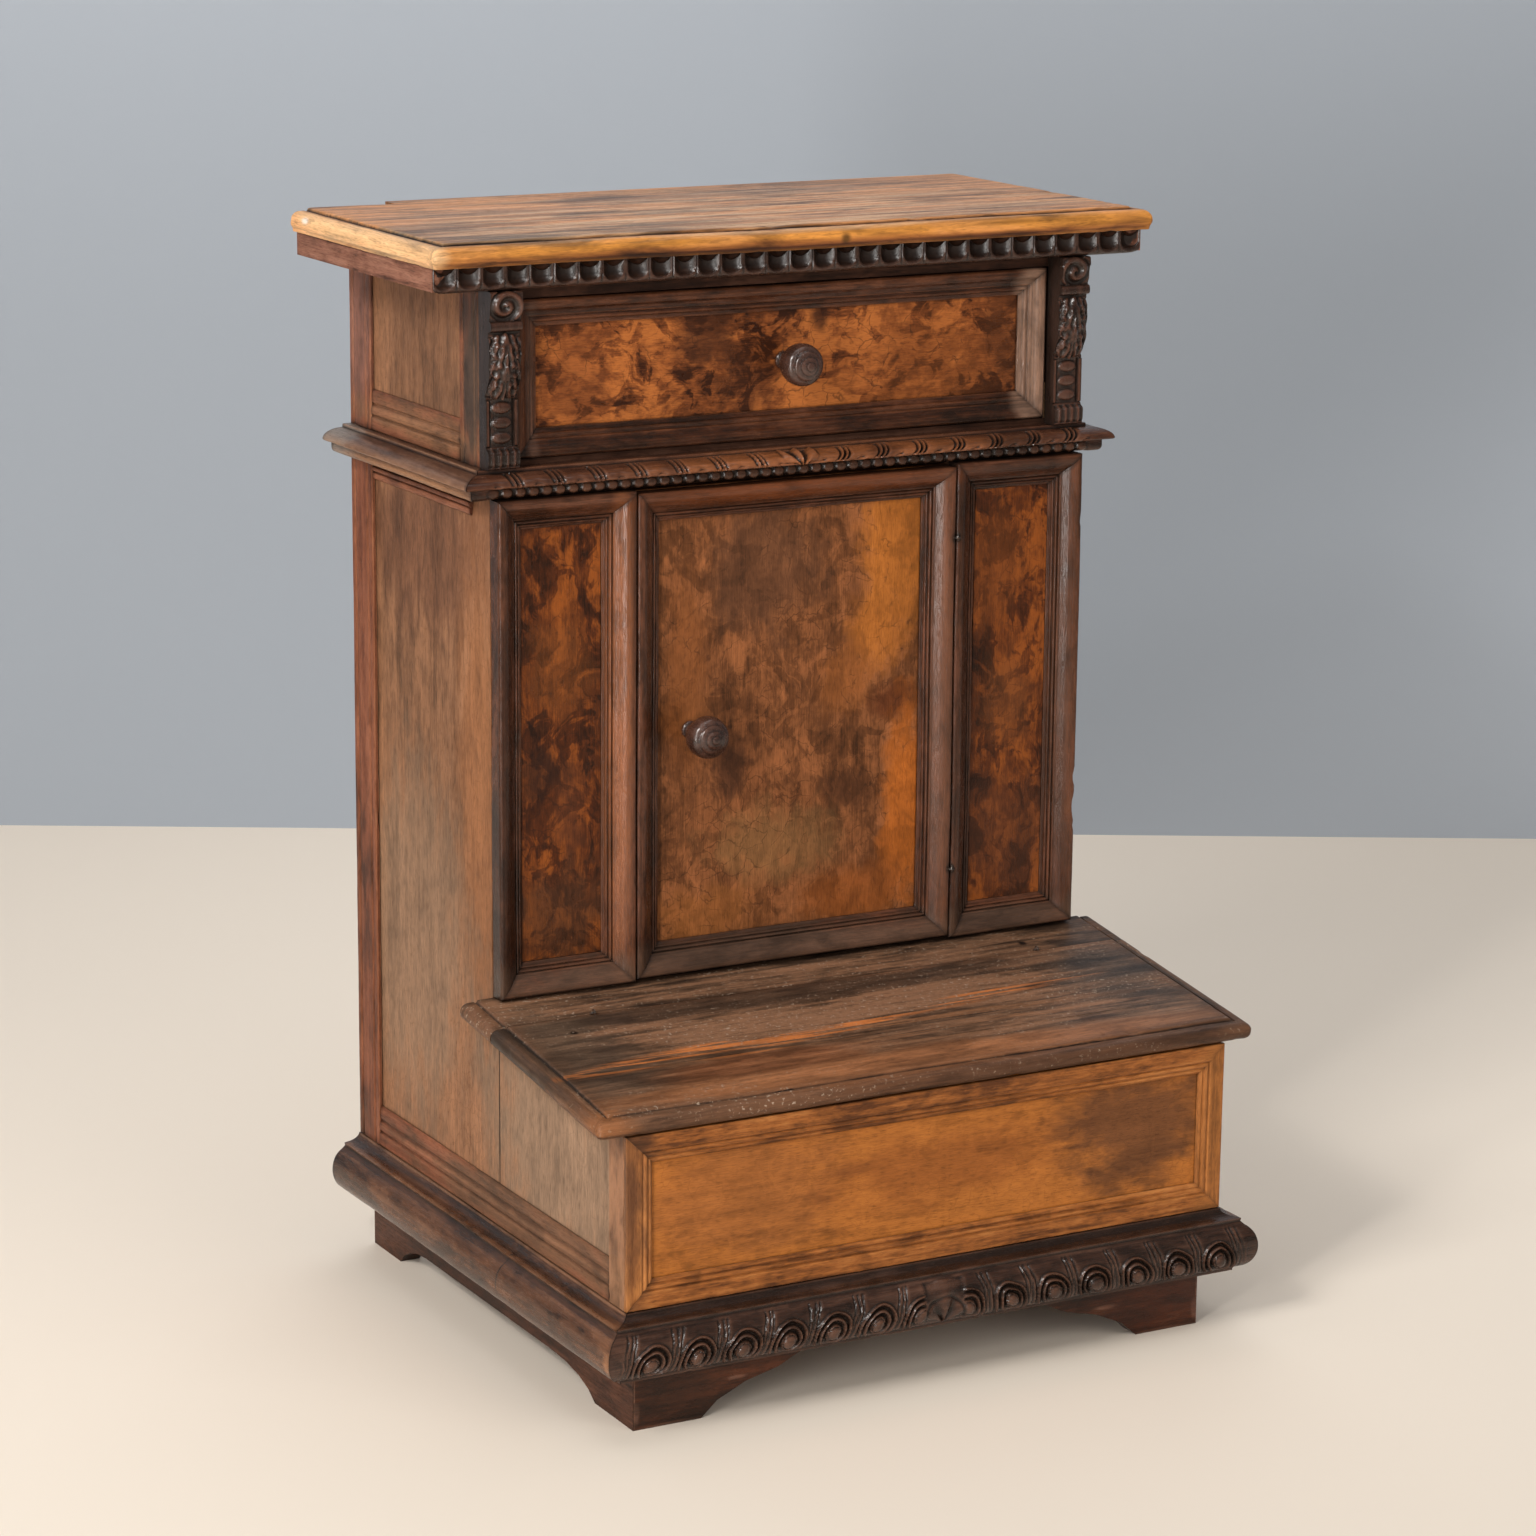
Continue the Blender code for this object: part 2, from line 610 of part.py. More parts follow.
def waist_moulding():
    """The moulding between the cupboard and the drawer, mitred round the front corners."""
    low = WAIST_Z
    tip = low + WAIST_TIP_HEIGHT
    ledge = DRAWER_Z - WAIST_LEDGE_HEIGHT
    flat = math.radians(0)
    under = math.radians(-90)
    crown = math.radians(90)
    outline = [(0, low)]
    outline += arc((WAIST_FOOT_OUT, low + WAIST_BEAD_ROUND),
                   (WAIST_BEAD_OUT - WAIST_FOOT_OUT, WAIST_BEAD_ROUND), under, flat, WAIST_BEAD_STEPS)
    outline.append((WAIST_BEAD_OUT, low + WAIST_BEAD_HEIGHT))
    outline += arc((WAIST_NECK_OUT, tip), (WAIST_OUT - WAIST_NECK_OUT, ledge - tip), flat, crown, WAIST_STEPS)
    outline += [(WAIST_LEDGE_OUT, DRAWER_Z), (0, DRAWER_Z)]
    front = Vector((0, world_y(UPPER_CASE_DEPTH + GAP), 0))
    extrusion("waist_moulding_front", outline, CASE_WIDTH, front, -Y, Z, RUSSET, 1, 1)
    for label, side in SIDES:
        side_run("waist_moulding_" + label, side, outline, (0, UPPER_CASE_DEPTH), CASE_X + GAP, RUSSET, 1)


def base_moulding():
    """The base moulding, mitred at the front corners and thinner in front."""
    low = SKIRT_HEIGHT + GAP
    under = math.radians(-90)
    fillet = SKIRT_HEIGHT + BASE_FILLET_HEIGHT
    half = (CASE_Z - BASE_LEDGE_DROP - BASE_QUIRK - fillet) / 2
    reach = BASE_OUT - BASE_TORUS_BACK
    shoulder = math.acos((BASE_LEDGE_OUT - BASE_TORUS_BACK) / reach)
    outline = [(-BASE_SEAT, low), (BASE_FILLET_OUT, low), (BASE_FILLET_OUT, fillet)]
    outline += arc((BASE_TORUS_BACK, fillet + half), (reach, half), under, shoulder, BASE_TORUS_STEPS)
    outline += arc((BASE_LEDGE_OUT, CASE_Z), (BASE_LEDGE_OUT, BASE_LEDGE_DROP), under,
                   math.radians(-180), BASE_COVE_STEPS)
    outline.append((-BASE_SEAT, CASE_Z))
    share = BASE_FRONT_SHARE
    front = Vector((0, world_y(KNEELER_FACE), 0))
    thinner = [(across * share, up) for across, up in outline]
    length = (STRIP_X - GAP) * 2
    extrusion("base_moulding_front", thinner, length, front, -Y, Z, UMBER, 1 / share, 1 / share)
    for label, side in SIDES:
        depths = (0, KNEELER_FACE - GAP)
        side_run("base_moulding_" + label, side, outline, depths, STRIP_X, RUSSET, share)


def sweep(toe, reach):
    """A foot's curve from its toe up to the arch; both are places along the skirt."""
    run = reach - toe
    shares = ((0, 0), SWEEP_LEAD_SHARE, SWEEP_TRAIL_SHARE, (1, 1))
    return bezier([(toe + run * across, ARCH_HEIGHT * up) for across, up in shares], SWEEP_STEPS)


def mitre_corner(shape, place, inward, side):
    """Slant the end of a skirt that stands at this place, so that it meets its neighbour."""
    for vertex in shape.verts:
        if abs(vertex.co.x - place) < GAP:
            vertex.co.x += inward * (SKIRT_THICKNESS / 2 + side * vertex.co.z + GAP)


def feet():
    """Side skirts with a foot at each end, and front bracket feet mitred to them."""
    high = SKIRT_HEIGHT - GAP
    rear = SKIRT_REAR_SETBACK
    front = SKIRT_FACE
    skirt = [(rear, 0)] + sweep(rear + REAR_TOE, rear + REAR_TOE + REAR_SWEEP)
    skirt += sweep(front - FRONT_TOE, front - FRONT_TOE - FRONT_SWEEP)[::-1]
    skirt += [(front, 0), (front, high), (rear, high)]
    bracket = [(0, 0)]
    bracket += [(BRACKET_TOE + BRACKET_SWEEP * across, high * up) for across, up in BRACKET_SHARES]
    bracket.append((0, high))
    for label, side in SIDES:
        shape = outline_shape(skirt, SKIRT_THICKNESS)
        mitre_corner(shape, front, -1, side)
        name = "side_skirt_" + label
        piece = add_piece(name, mesh_from(name, shape), RUSSET)
        middle = side * (SKIRT_X - SKIRT_THICKNESS / 2)
        piece.matrix_world = axes(Vector((middle, REAR_Y, 0)), -Y, Z)
        shape = outline_shape(bracket, SKIRT_THICKNESS)
        mitre_corner(shape, 0, 1, side)
        name = "front_foot_" + label
        piece = add_piece(name, mesh_from(name, shape), RUSSET)
        corner = Vector((side * SKIRT_X, world_y(front - SKIRT_THICKNESS / 2), 0))
        piece.matrix_world = axes(corner, X * -side, Z)


def top():
    """The top board with its notch, the side bands and the fluted strip under it."""
    rear = REAR_Y + TOP_REAR_OVERHANG
    notch = rear - NOTCH_DEPTH
    front = world_y(TOP_FRONT_DEPTH)

    def path(inset):
        outer = TOP_X - inset
        return ((-outer, notch), (-outer, front + inset), (outer, front + inset), (outer, rear))

    corner = NOTCH_WIDTH - TOP_X
    layers = nose_layers(TOP_THICKNESS, TOP_BORDER, TOP_NOSE_END)
    board = moulded_board("top_board", layers, path, ((corner, rear), (corner, notch)), HONEY)
    board.location.z = TOP_Z + TOP_THICKNESS
    high = TOP_Z - GAP
    band = [(0, BAND_Z + GAP), (BAND_OVERHANG, BAND_Z + GAP), (BAND_OVERHANG, high), (0, high)]
    for label, side in SIDES:
        side_run("top_band_" + label, side, band, (BAND_REAR_SETBACK, UPPER_CASE_DEPTH), CASE_X + GAP,
                 HONEY, FLUTED_STRIP_DEPTH / BAND_OVERHANG)
    reach = CASE_X + BAND_OVERHANG
    pitch = reach * 2 / FLUTES
    hollow = pitch * (1 - FLUTE_LAND_SHARE) / 2
    outline = [(CASE_X, 0), (-CASE_X, 0), (-reach, FLUTED_STRIP_DEPTH)]
    for flute in range(FLUTES):
        middle = ((flute + 1 / 2) * pitch - reach, FLUTED_STRIP_DEPTH)
        outline += arc(middle, (hollow, -FLUTE_DEPTH), math.radians(180), 0, FLUTE_STEPS)
    outline.append((reach, FLUTED_STRIP_DEPTH))
    centre = Vector((0, world_y(UPPER_CASE_DEPTH + GAP), (FLUTED_Z + high) / 2))
    extrusion("fluted_strip", outline, high - FLUTED_Z, centre, X, -Y, UMBER)


def corbels():
    """A carved bracket on the front edge of each side board, beside the drawer."""
    low = DRAWER_Z + GAP
    height = FLUTED_Z - GAP - low
    outline = [(across * CORBEL_OUT, low + up * height) for across, up in CORBEL_SHARES]
    for label, side in SIDES:
        middle = side * (STRIP_X - CORBEL_WIDTH / 2)
        centre = Vector((middle, world_y(UPPER_CASE_DEPTH + GAP), 0))
        extrusion("corbel_" + label, outline, CORBEL_WIDTH, centre, -Y, Z, UMBER)


def knob(name, board, place):
    """A turned knob on a tenon that is let into a board; its own +Z points to the front."""
    profile = scaled(KNOB_SHARES, KNOB_RADIUS, KNOB_LENGTH)
    profile += [(TENON_RADIUS, 0), (TENON_RADIUS, -TENON_LENGTH), (0, -TENON_LENGTH)]
    shape = bmesh.new()
    verts = [shape.verts.new((across, 0, up)) for across, up in profile]
    for upper, lower in zip(verts, verts[1:]):
        shape.edges.new((upper, lower))
    mesh = bpy.data.meshes.new(name)
    shape.to_mesh(mesh)
    shape.free()
    piece = add_piece(name, mesh, UMBER)
    piece.location = place - Y * GAP
    piece.rotation_euler.x = math.radians(90)
    screw = piece.modifiers.new("turned", "SCREW")
    screw.steps = KNOB_STEPS
    screw.render_steps = KNOB_STEPS
    screw.use_merge_vertices = True
    screw.merge_threshold = WELD
    screw.use_smooth_shade = True
    hole = rod_cutter(name + "_hole", place - Y * OVERRUN, place + Y * TENON_LENGTH, TENON_RADIUS + GAP,
                      KNOB_STEPS)
    combine(board, hole)
    return piece


def drawer():
    """The drawer: a framed front with its knob, two sides, a back and a bottom."""
    side_x = DRAWER_X - DRAWER_SIDE
    rear = BACK_BOARD + DRAWER_BACK_ROOM
    inner = DRAWER_FACE - DRAWER_FRONT - GAP
    floor = DRAWER_LOW + DRAWER_BOTTOM
    sides = (floor + GAP, DRAWER_HIGH - DRAWER_SIDE_DROP)
    wide = (-DRAWER_X, DRAWER_X)
    heights = (DRAWER_LOW, DRAWER_HIGH)
    front = box("drawer_front", wide, (DRAWER_FACE - DRAWER_FRONT, DRAWER_FACE), heights, BURR)
    frame = mitred_frame("drawer_front_frame", wide, heights, DRAWER_FACE, DRAWER_FRAME_WIDTH,
                         DRAWER_FRAME_RELIEF, DRAWER_FRAME_SHARES, UMBER)
    place = Vector((0, world_y(DRAWER_FACE), sum(heights) / 2))
    pieces = [front, frame, knob("drawer_knob", front, place)]
    for label, side in SIDES:
        across = on_side(side, side_x, DRAWER_X)
        pieces.append(box("drawer_side_" + label, across, (rear, inner), sides, POPLAR))
    back = (rear, rear + DRAWER_SIDE)
    pieces.append(box("drawer_back", (GAP - side_x, side_x - GAP), back, sides, POPLAR))
    pieces.append(box("drawer_bottom", wide, (rear, inner), (DRAWER_LOW, floor), POPLAR))
    carry(pivot("drawer_slide", place), pieces)


def wire_loop(name, origin, centre, into, spread):
    """A wire bent round an eye, with both legs going into the wood."""
    opening = math.asin(LEG_OFFSET / EYE_RADIUS)
    leg = centre + into * (EYE_RADIUS + LEG_LENGTH) - origin
    path = [leg + spread * LEG_OFFSET]
    for step in range(EYE_STEPS + 1):
        angle = opening + (math.tau - opening * 2) * step / EYE_STEPS
        reach = (into * math.cos(angle) + spread * math.sin(angle)) * EYE_RADIUS
        path.append(centre + reach - origin)
    path.append(leg - spread * LEG_OFFSET)
    curve = bpy.data.curves.new(name, "CURVE")
    curve.dimensions = "3D"
    curve.bevel_depth = WIRE_RADIUS
    curve.bevel_resolution = 1
    curve.use_fill_caps = True
    spline = curve.splines.new("POLY")
    spline.points.add(len(path) - 1)
    for target, point in zip(spline.points, path):
        target.co = (*point, 1)
    piece = add_piece(name, curve, IRON)
    piece.location = origin
    return piece


def hinge(place, axis, moving, fixed):
    """Two linked loops. Each is given as its name, the way into its wood, and the wood.

    The moving eye is centred on the axis, and the fixed eye's wire passes through the axis.
    """
    loops = []
    for (name, into, wood), turns in ((moving, True), (fixed, False)):
        spread = axis.cross(into) if turns else axis
        centre = place if turns else place + into * EYE_RADIUS
        loops.append(wire_loop(name, place, centre, into, spread))
        thick = into.cross(spread) * (WIRE_RADIUS + GAP)
        radius = EYE_RADIUS + WIRE_RADIUS + GAP
        pocket = rod_cutter(name + "_pocket", centre - thick, centre + thick, radius)
        combine(moving[2], pocket)
        combine(fixed[2], pocket)
        end = centre + into * (EYE_RADIUS + LEG_LENGTH + GAP)
        combine(wood, rod_cutter(name + "_hole", centre, end, LEG_OFFSET + WIRE_RADIUS + GAP))
    return loops[0]


def door(low, fixed_frame):
    """The cupboard door: a panel under a moulded frame, a knob and two wire-loop hinges."""
    reach = DOOR_X - DOOR_GAP
    heights = (low, WAIST_Z - DOOR_HEAD_GAP)
    depths = (LOWER_CASE_DEPTH - DOOR_BOARD, LOWER_CASE_DEPTH)
    panel = box("door_panel", (-reach, reach), depths, heights, AMBER)
    frame = mitred_frame("door_frame", (-reach, reach), heights, LOWER_CASE_DEPTH, FRAME_WIDTH,
                         FRAME_RELIEF, FRAME_SHARES, RUSSET)
    place = Vector((DOOR_KNOB_INSET - reach, world_y(LOWER_CASE_DEPTH), sum(heights) / 2))
    turned = knob("door_knob", panel, place)
    axis = Vector((DOOR_X - DOOR_GAP / 2, world_y(FRAME_FACE + HINGE_PROUD), sum(heights) / 2))
    moving = [panel, frame, turned]
    reach = axis.z - heights[0] - DOOR_HINGE_INSET
    for label, lift in (("low", -reach), ("high", reach)):
        moving.append(hinge(axis + Z * lift, Z, ("door_loop_" + label, (Y - X).normalized(), frame),
                            ("post_loop_" + label, (Y + X).normalized(), fixed_frame)))
    carry(pivot("door_pivot", axis), moving)


def kneeling_board():
    """The fixed rear strip, the lid that lifts, and the wire-loop hinges between them."""
    line = Vector((0, world_y(HINGE_DEPTH), HINGE_HEIGHT))
    layers = nose_layers(BOARD_THICKNESS, LID_BORDER, LID_NOSE_END)
    right = [(LID_X - inset, drop) for inset, drop in layers]
    outline = right + [(-across, up) for across, up in right[::-1]]
    rear = LOWER_CASE_DEPTH + GAP + BOARD_THICKNESS * math.sin(SLOPE)
    length = (HINGE_DEPTH - rear) / math.cos(SLOPE) - LID_GAP / 2
    centre = line - BOARD_FORWARD * (LID_GAP + length) / 2
    strip = extrusion("kneeler_rear_strip", outline, length, centre, X, BOARD_UP, UMBER)

    def path(inset):
        outer = LID_X - inset
        front = inset - LID_DEPTH
        back = -LID_GAP / 2
        return ((-outer, back), (-outer, front), (outer, front), (outer, back))

    lid = moulded_board("kneeler_lid", layers, path, (), UMBER)
    lid.location = line
    lid.rotation_euler.x = SLOPE
    axis = line + BOARD_UP * HINGE_PROUD
    into_lid = (BOARD_FORWARD - BOARD_UP).normalized()
    into_strip = (-BOARD_FORWARD - BOARD_UP).normalized()
    moving = [lid]
    for label, side in SIDES:
        place = axis + X * side * (LID_X - LID_HINGE_INSET)
        moving.append(hinge(place, X, ("lid_loop_" + label, into_lid, lid),
                            ("strip_loop_" + label, into_strip, strip)))
    carry(pivot("lid_pivot", axis), moving)


def kneeler_front():
    """The kneeler's front board and the low frame on it."""
    low = CASE_Z + GAP
    rear = KNEELER_DEPTH - KNEELER_FRONT
    outline = [(rear, low), (KNEELER_DEPTH, low), (KNEELER_DEPTH, kneeler_seat(KNEELER_DEPTH)),
               (rear, kneeler_seat(rear))]
    extrusion("kneeler_front", outline, CASE_WIDTH, Vector((0, REAR_Y, 0)), -Y, Z, AMBER)
    heights = (low, kneeler_seat(KNEELER_FACE))
    mitred_frame("kneeler_front_frame", (-STRIP_X, STRIP_X), heights, KNEELER_DEPTH, KNEELER_FRAME_WIDTH,
                 KNEELER_FRAME_RELIEF, KNEELER_FRAME_SHARES, AMBER)


frame_low = kneeler_top(LOWER_CASE_DEPTH) + FRAME_FOOT_GAP
door_bottom = frame_low + DOOR_FOOT_LIFT
side_boards()
shelves(door_bottom)
front_timbers(door_bottom)
side_frames()
waist_moulding()
base_moulding()
feet()
top()
corbels()
drawer()
door(door_bottom, pilasters(frame_low)[1])
kneeling_board()
kneeler_front()
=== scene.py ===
"""A walnut prie-dieu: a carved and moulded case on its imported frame, with a drawer, a door and a lid."""
import math

import bmesh
import bpy
import numpy as np
from bpy.props import FloatProperty, FloatVectorProperty, IntProperty, PointerProperty
from mathutils import Matrix, Vector


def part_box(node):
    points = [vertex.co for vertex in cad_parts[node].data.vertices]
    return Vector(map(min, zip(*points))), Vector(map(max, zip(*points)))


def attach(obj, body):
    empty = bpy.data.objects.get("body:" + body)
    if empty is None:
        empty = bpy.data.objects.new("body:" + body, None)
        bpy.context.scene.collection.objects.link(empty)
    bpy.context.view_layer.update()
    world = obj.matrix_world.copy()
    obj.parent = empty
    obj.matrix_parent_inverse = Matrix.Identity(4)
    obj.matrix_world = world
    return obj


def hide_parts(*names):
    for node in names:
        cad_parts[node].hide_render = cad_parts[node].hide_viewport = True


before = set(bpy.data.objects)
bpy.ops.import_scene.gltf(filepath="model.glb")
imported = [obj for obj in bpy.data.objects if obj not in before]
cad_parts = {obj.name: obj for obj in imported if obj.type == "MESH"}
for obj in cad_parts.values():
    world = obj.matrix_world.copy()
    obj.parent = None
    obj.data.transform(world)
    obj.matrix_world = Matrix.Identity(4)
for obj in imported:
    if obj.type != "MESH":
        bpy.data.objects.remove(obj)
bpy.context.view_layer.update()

bl_info = {
    "name": "Walnut prie-dieu",
    "version": (1, 0, 0),
    "blender": (4, 5, 0),
    "location": "View3D > Sidebar > Prie-dieu",
    "description": "Builds a carved walnut prie-dieu with its drawer, cupboard and kneeler",
    "category": "Object",
}

# Directions, and the sizes that several pieces share, in metres

X, Y, Z = np.eye(3)
SIDES = (("left", -1), ("right", 1))
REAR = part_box("side_board_left")[1].y
SLOPE = math.radians(7.3)
SIDE_FACE = 0.2763
SCRIBED = 0.0135
CLOSE = 0.0009
SEEN = 0.0001


def cad(name):
    """The lowest and highest corner of a CAD node."""
    low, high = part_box(name)
    return np.array(low), np.array(high)


# Noise and outlines

def cloud(points, size, seed=0):
    """Smooth noise from -1 to 1 in lumps of about this size, for many points at once."""
    place = np.asarray(points) / size + seed * 17.13 + 900
    cell = np.floor(place).astype(np.int64)
    part = place - cell
    part = part * part * (3 - 2 * part)
    total = np.zeros(len(place))
    for corner in np.ndindex(2, 2, 2):
        key = (cell + corner) @ np.array((73856093, 19349663, 83492791))
        key = ((key ^ (key >> 13)) * 1274126177) & 0xffffffff
        value = ((key ^ (key >> 16)) & 0xffff) / 32767.5 - 1
        total += value * np.prod(np.where(corner, part, 1 - part), axis=1)
    return total


def step_up(value, low, high):
    """Rise smoothly from 0 to 1 between two values."""
    part = np.clip((value - low) / (high - low), 0, 1)
    return part * part * (3 - 2 * part)


def hump(value, width):
    """A round bump of height 1 about zero."""
    return np.exp(-(value / width) ** 2)


def dome(away):
    """Half a ball of height 1, for a distance in radii."""
    return np.sqrt(np.clip(1 - away ** 2, 0, 1))


def bow(centre, radii, first, last, steps):
    """Points on an ellipse from one angle to another, in degrees, measured from the second direction."""
    angles = np.radians(np.linspace(first, last, steps + 1))
    return [(centre[0] + radii[0] * math.sin(angle), centre[1] + radii[1] * math.cos(angle))
            for angle in angles]


def eased(points, radius):
    """Round the corners of a closed outline, as use does. Corners that are nearly straight stay."""
    steps, straight = 3, -0.96
    done = []
    for index, corner in enumerate(points):
        corner = np.array(corner, float)
        back = np.array(points[index - 1]) - corner
        ahead = np.array(points[(index + 1) % len(points)]) - corner
        long_back, long_ahead = np.linalg.norm(back), np.linalg.norm(ahead)
        if (back @ ahead) / (long_back * long_ahead) < straight:
            done.append(corner)
            continue
        start = corner + back / long_back * min(radius, long_back * 0.45)
        end = corner + ahead / long_ahead * min(radius, long_ahead * 0.45)
        for step in range(steps + 1):
            part = step / steps
            done.append(start * (1 - part) ** 2 + corner * 2 * part * (1 - part) + end * part ** 2)
    return done


def fine(points, pitch, hidden=SEEN):
    """Add points to the seen sides of a closed outline, so that none lie further apart than the pitch."""
    done = []
    for index, start in enumerate(points):
        start = np.array(start, float)
        end = np.array(points[(index + 1) % len(points)], float)
        parts = 1
        if max(start[1], end[1]) > hidden:
            parts = max(1, math.ceil(np.linalg.norm(end - start) / pitch))
        done += [start + (end - start) * part / parts for part in range(parts)]
    return np.array(done)


def moulding(shares, width, relief, ease=0.0005, pitch=CLOSE):
    """The outline of a moulding, from points that are shares of its width and of its relief."""
    return fine(eased([(across * width, out * relief) for across, out in shares], ease), pitch)


def outward(outline):
    """The outward direction at each point of a closed outline."""
    turn = np.roll(outline, -1, 0) - np.roll(outline, 1, 0)
    area = np.sum(outline[:, 0] * np.roll(outline[:, 1], -1) - outline[:, 1] * np.roll(outline[:, 0], -1))
    normal = np.stack((turn[:, 1], -turn[:, 0]), 1) * np.sign(area)
    return normal / np.maximum(np.linalg.norm(normal, axis=1), 1e-9)[:, None]


def tube(rows, wide):
    """The faces of a closed tube of rings, with its two ends."""
    faces = []
    for start in range(0, (rows - 1) * wide, wide):
        for index in range(wide):
            here, after = start + index, start + (index + 1) % wide
            faces.append((here, after, after + wide, here + wide))
    return faces + [tuple(range(wide)), tuple(range((rows - 1) * wide, rows * wide))]


# Pieces

class Shape:
    """The points, faces, grain and joints of a piece, gathered one length of wood at a time."""

    def __init__(self, seed):
        self.random = np.random.default_rng(seed)
        self.points, self.grain, self.tone, self.joint, self.faces = [], [], [], [], []
        self.count = 0

    def put(self, points, grain, faces, joint=None):
        """Add one closed length; its grain starts at a place of its own, as a different board's would."""
        points = np.asarray(points).reshape(-1, 3)
        shift = self.random.uniform(-3, 3, 3) * (1, 0.2, 0.2)
        self.points.append(points)
        self.grain.append(np.asarray(grain).reshape(-1, 3) + shift)
        self.tone.append(np.full(len(points), self.random.uniform(0.35, 0.65)))
        self.joint.append(np.zeros(len(points)) if joint is None else joint)
        self.faces += [tuple(int(corner) + self.count for corner in face) for face in faces]
        self.count += len(points)

    def length(self, outline, run, place, along, across, out, mitres=(0, 0), by=0, step=0.004, carve=None,
               cross=False):
        """One length of wood. Its outline is drawn across and out, and it runs along.

        Each mitre is how far that end draws in for each step along the outline's first number, or along its
        second where by is 1. carve gives how far each point rises. With cross, the grain runs across.
        """
        outline = np.asarray(outline)
        slide = outline[:, by]
        start, end = run[0] + mitres[0] * slide, run[1] - mitres[1] * slide
        rows = max(2, math.ceil((run[1] - run[0]) / step)) + 1
        parts = np.linspace(0, 1, rows)[:, None]
        reach = start + (end - start) * parts
        spread = np.repeat(outline[None, :, 0], rows, 0)
        proud = np.repeat(outline[None, :, 1], rows, 0)
        if carve:
            normal = outward(outline)
            lift = carve(reach, spread, proud)
            spread = spread + lift * normal[:, 0]
            proud = proud + lift * normal[:, 1]
        points = (np.asarray(place) + reach[..., None] * along + spread[..., None] * across
                  + proud[..., None] * out)
        grain = np.stack((spread, reach, proud) if cross else (reach, spread, proud), -1)
        joint = np.zeros((rows, len(outline)))
        joint[0] = joint[-1] = 1
        self.put(points, grain, tube(rows, len(outline)), joint.ravel())

    def turned(self, profile, place, out, sides=48):
        """A turned piece: its profile is a radius and a place outwards, from the tip to the back."""
        angles = np.linspace(0, math.tau, sides, endpoint=False)
        circle = np.outer(np.cos(angles), X) + np.outer(np.sin(angles), Z)
        points = np.array([np.asarray(place) + circle * max(radius, 1e-5) + np.asarray(out) * reach
                           for radius, reach in profile])
        self.put(points, points[..., (1, 0, 2)], tube(len(profile), sides))

    def board(self, layers, path, tail, matrix):
        """A board lofted through its layers, each an inset and a drop; tail squares it off at the back.

        The grain turns along its end edges, because rubbed end grain shows no bands.
        """
        end_band, front_band = SCRIBED + 0.0002, 0.010
        rings, points, faces = [], [], []

        def add(across, deep, drop):
            points.append((across, deep, drop))
            return len(points) - 1

        for inset, drop in layers:
            rings.append([add(across, deep, drop) for across, deep in path(inset)])
        for upper, lower in zip(rings, rings[1:]):
            for index in range(len(upper) - 1):
                faces.append((upper[index], lower[index], lower[index + 1], upper[index + 1]))
        columns = [[ring[-1] for ring in rings]]
        for across, deep in tail:
            columns.append([add(across, deep, 0), add(across, deep, layers[-1][1])])
        columns.append([ring[0] for ring in rings])
        for column, following in zip(columns, columns[1:]):
            faces.append(tuple(column + following[::-1]))
        for ring, end in ((rings[0], 0), (rings[-1], -1)):
            faces.append(tuple(ring + [column[end] for column in columns[1:-1]]))
        points = np.array(points)
        lowest, highest = points.min(0), points.max(0)
        grain = points.copy()
        ends = (np.abs(points[:, 0]) > highest[0] - end_band) & (points[:, 1] > lowest[1] + front_band)
        grain[ends] = points[ends][:, (1, 0, 2)]
        groove = np.zeros(len(points))
        for ring, (inset, drop) in zip(rings, layers):
            if inset > SCRIBED - 0.003 and drop < -0.001:
                groove[ring] = 1
        self.put(np.array([matrix @ Vector(point) for point in points]), grain, faces, groove)

    def piece(self, name, nodes, body, slot, finish, wobble=None, nicks=None, rounds=5, bites=()):
        """Make the object, weather it, and set it in place of its CAD nodes.

        Its faces stray and its edges chip as the user's sizes say, unless the call says how much. Each bite
        is the centre, radius and depth of a piece broken from an edge.
        """
        sizes = bpy.context.scene.carving_sizes
        mesh = bpy.data.meshes.new(name)
        mesh.from_pydata(np.concatenate(self.points).tolist(), [], self.faces)
        shape = bmesh.new()
        shape.from_mesh(mesh)
        bmesh.ops.recalc_face_normals(shape, faces=shape.faces)
        shape.to_mesh(mesh)
        shape.free()
        wobble = sizes.wobble if wobble is None else wobble
        nicks = sizes.nicks if nicks is None else nicks
        weather(mesh, np.concatenate(self.joint), np.concatenate(self.tone), wobble, nicks, rounds, bites)
        grain = mesh.attributes.new("grain", "FLOAT_VECTOR", "POINT")
        grain.data.foreach_set("vector", np.concatenate(self.grain).ravel())
        mesh.shade_smooth()
        mesh.set_sharp_from_angle(angle=math.radians(38))
        mesh.materials.append(finish)
        piece = bpy.data.objects.new(name, mesh)
        bpy.context.scene.collection.objects.link(piece)
        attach(piece, body)
        if nodes:
            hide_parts(*nodes)
        return piece


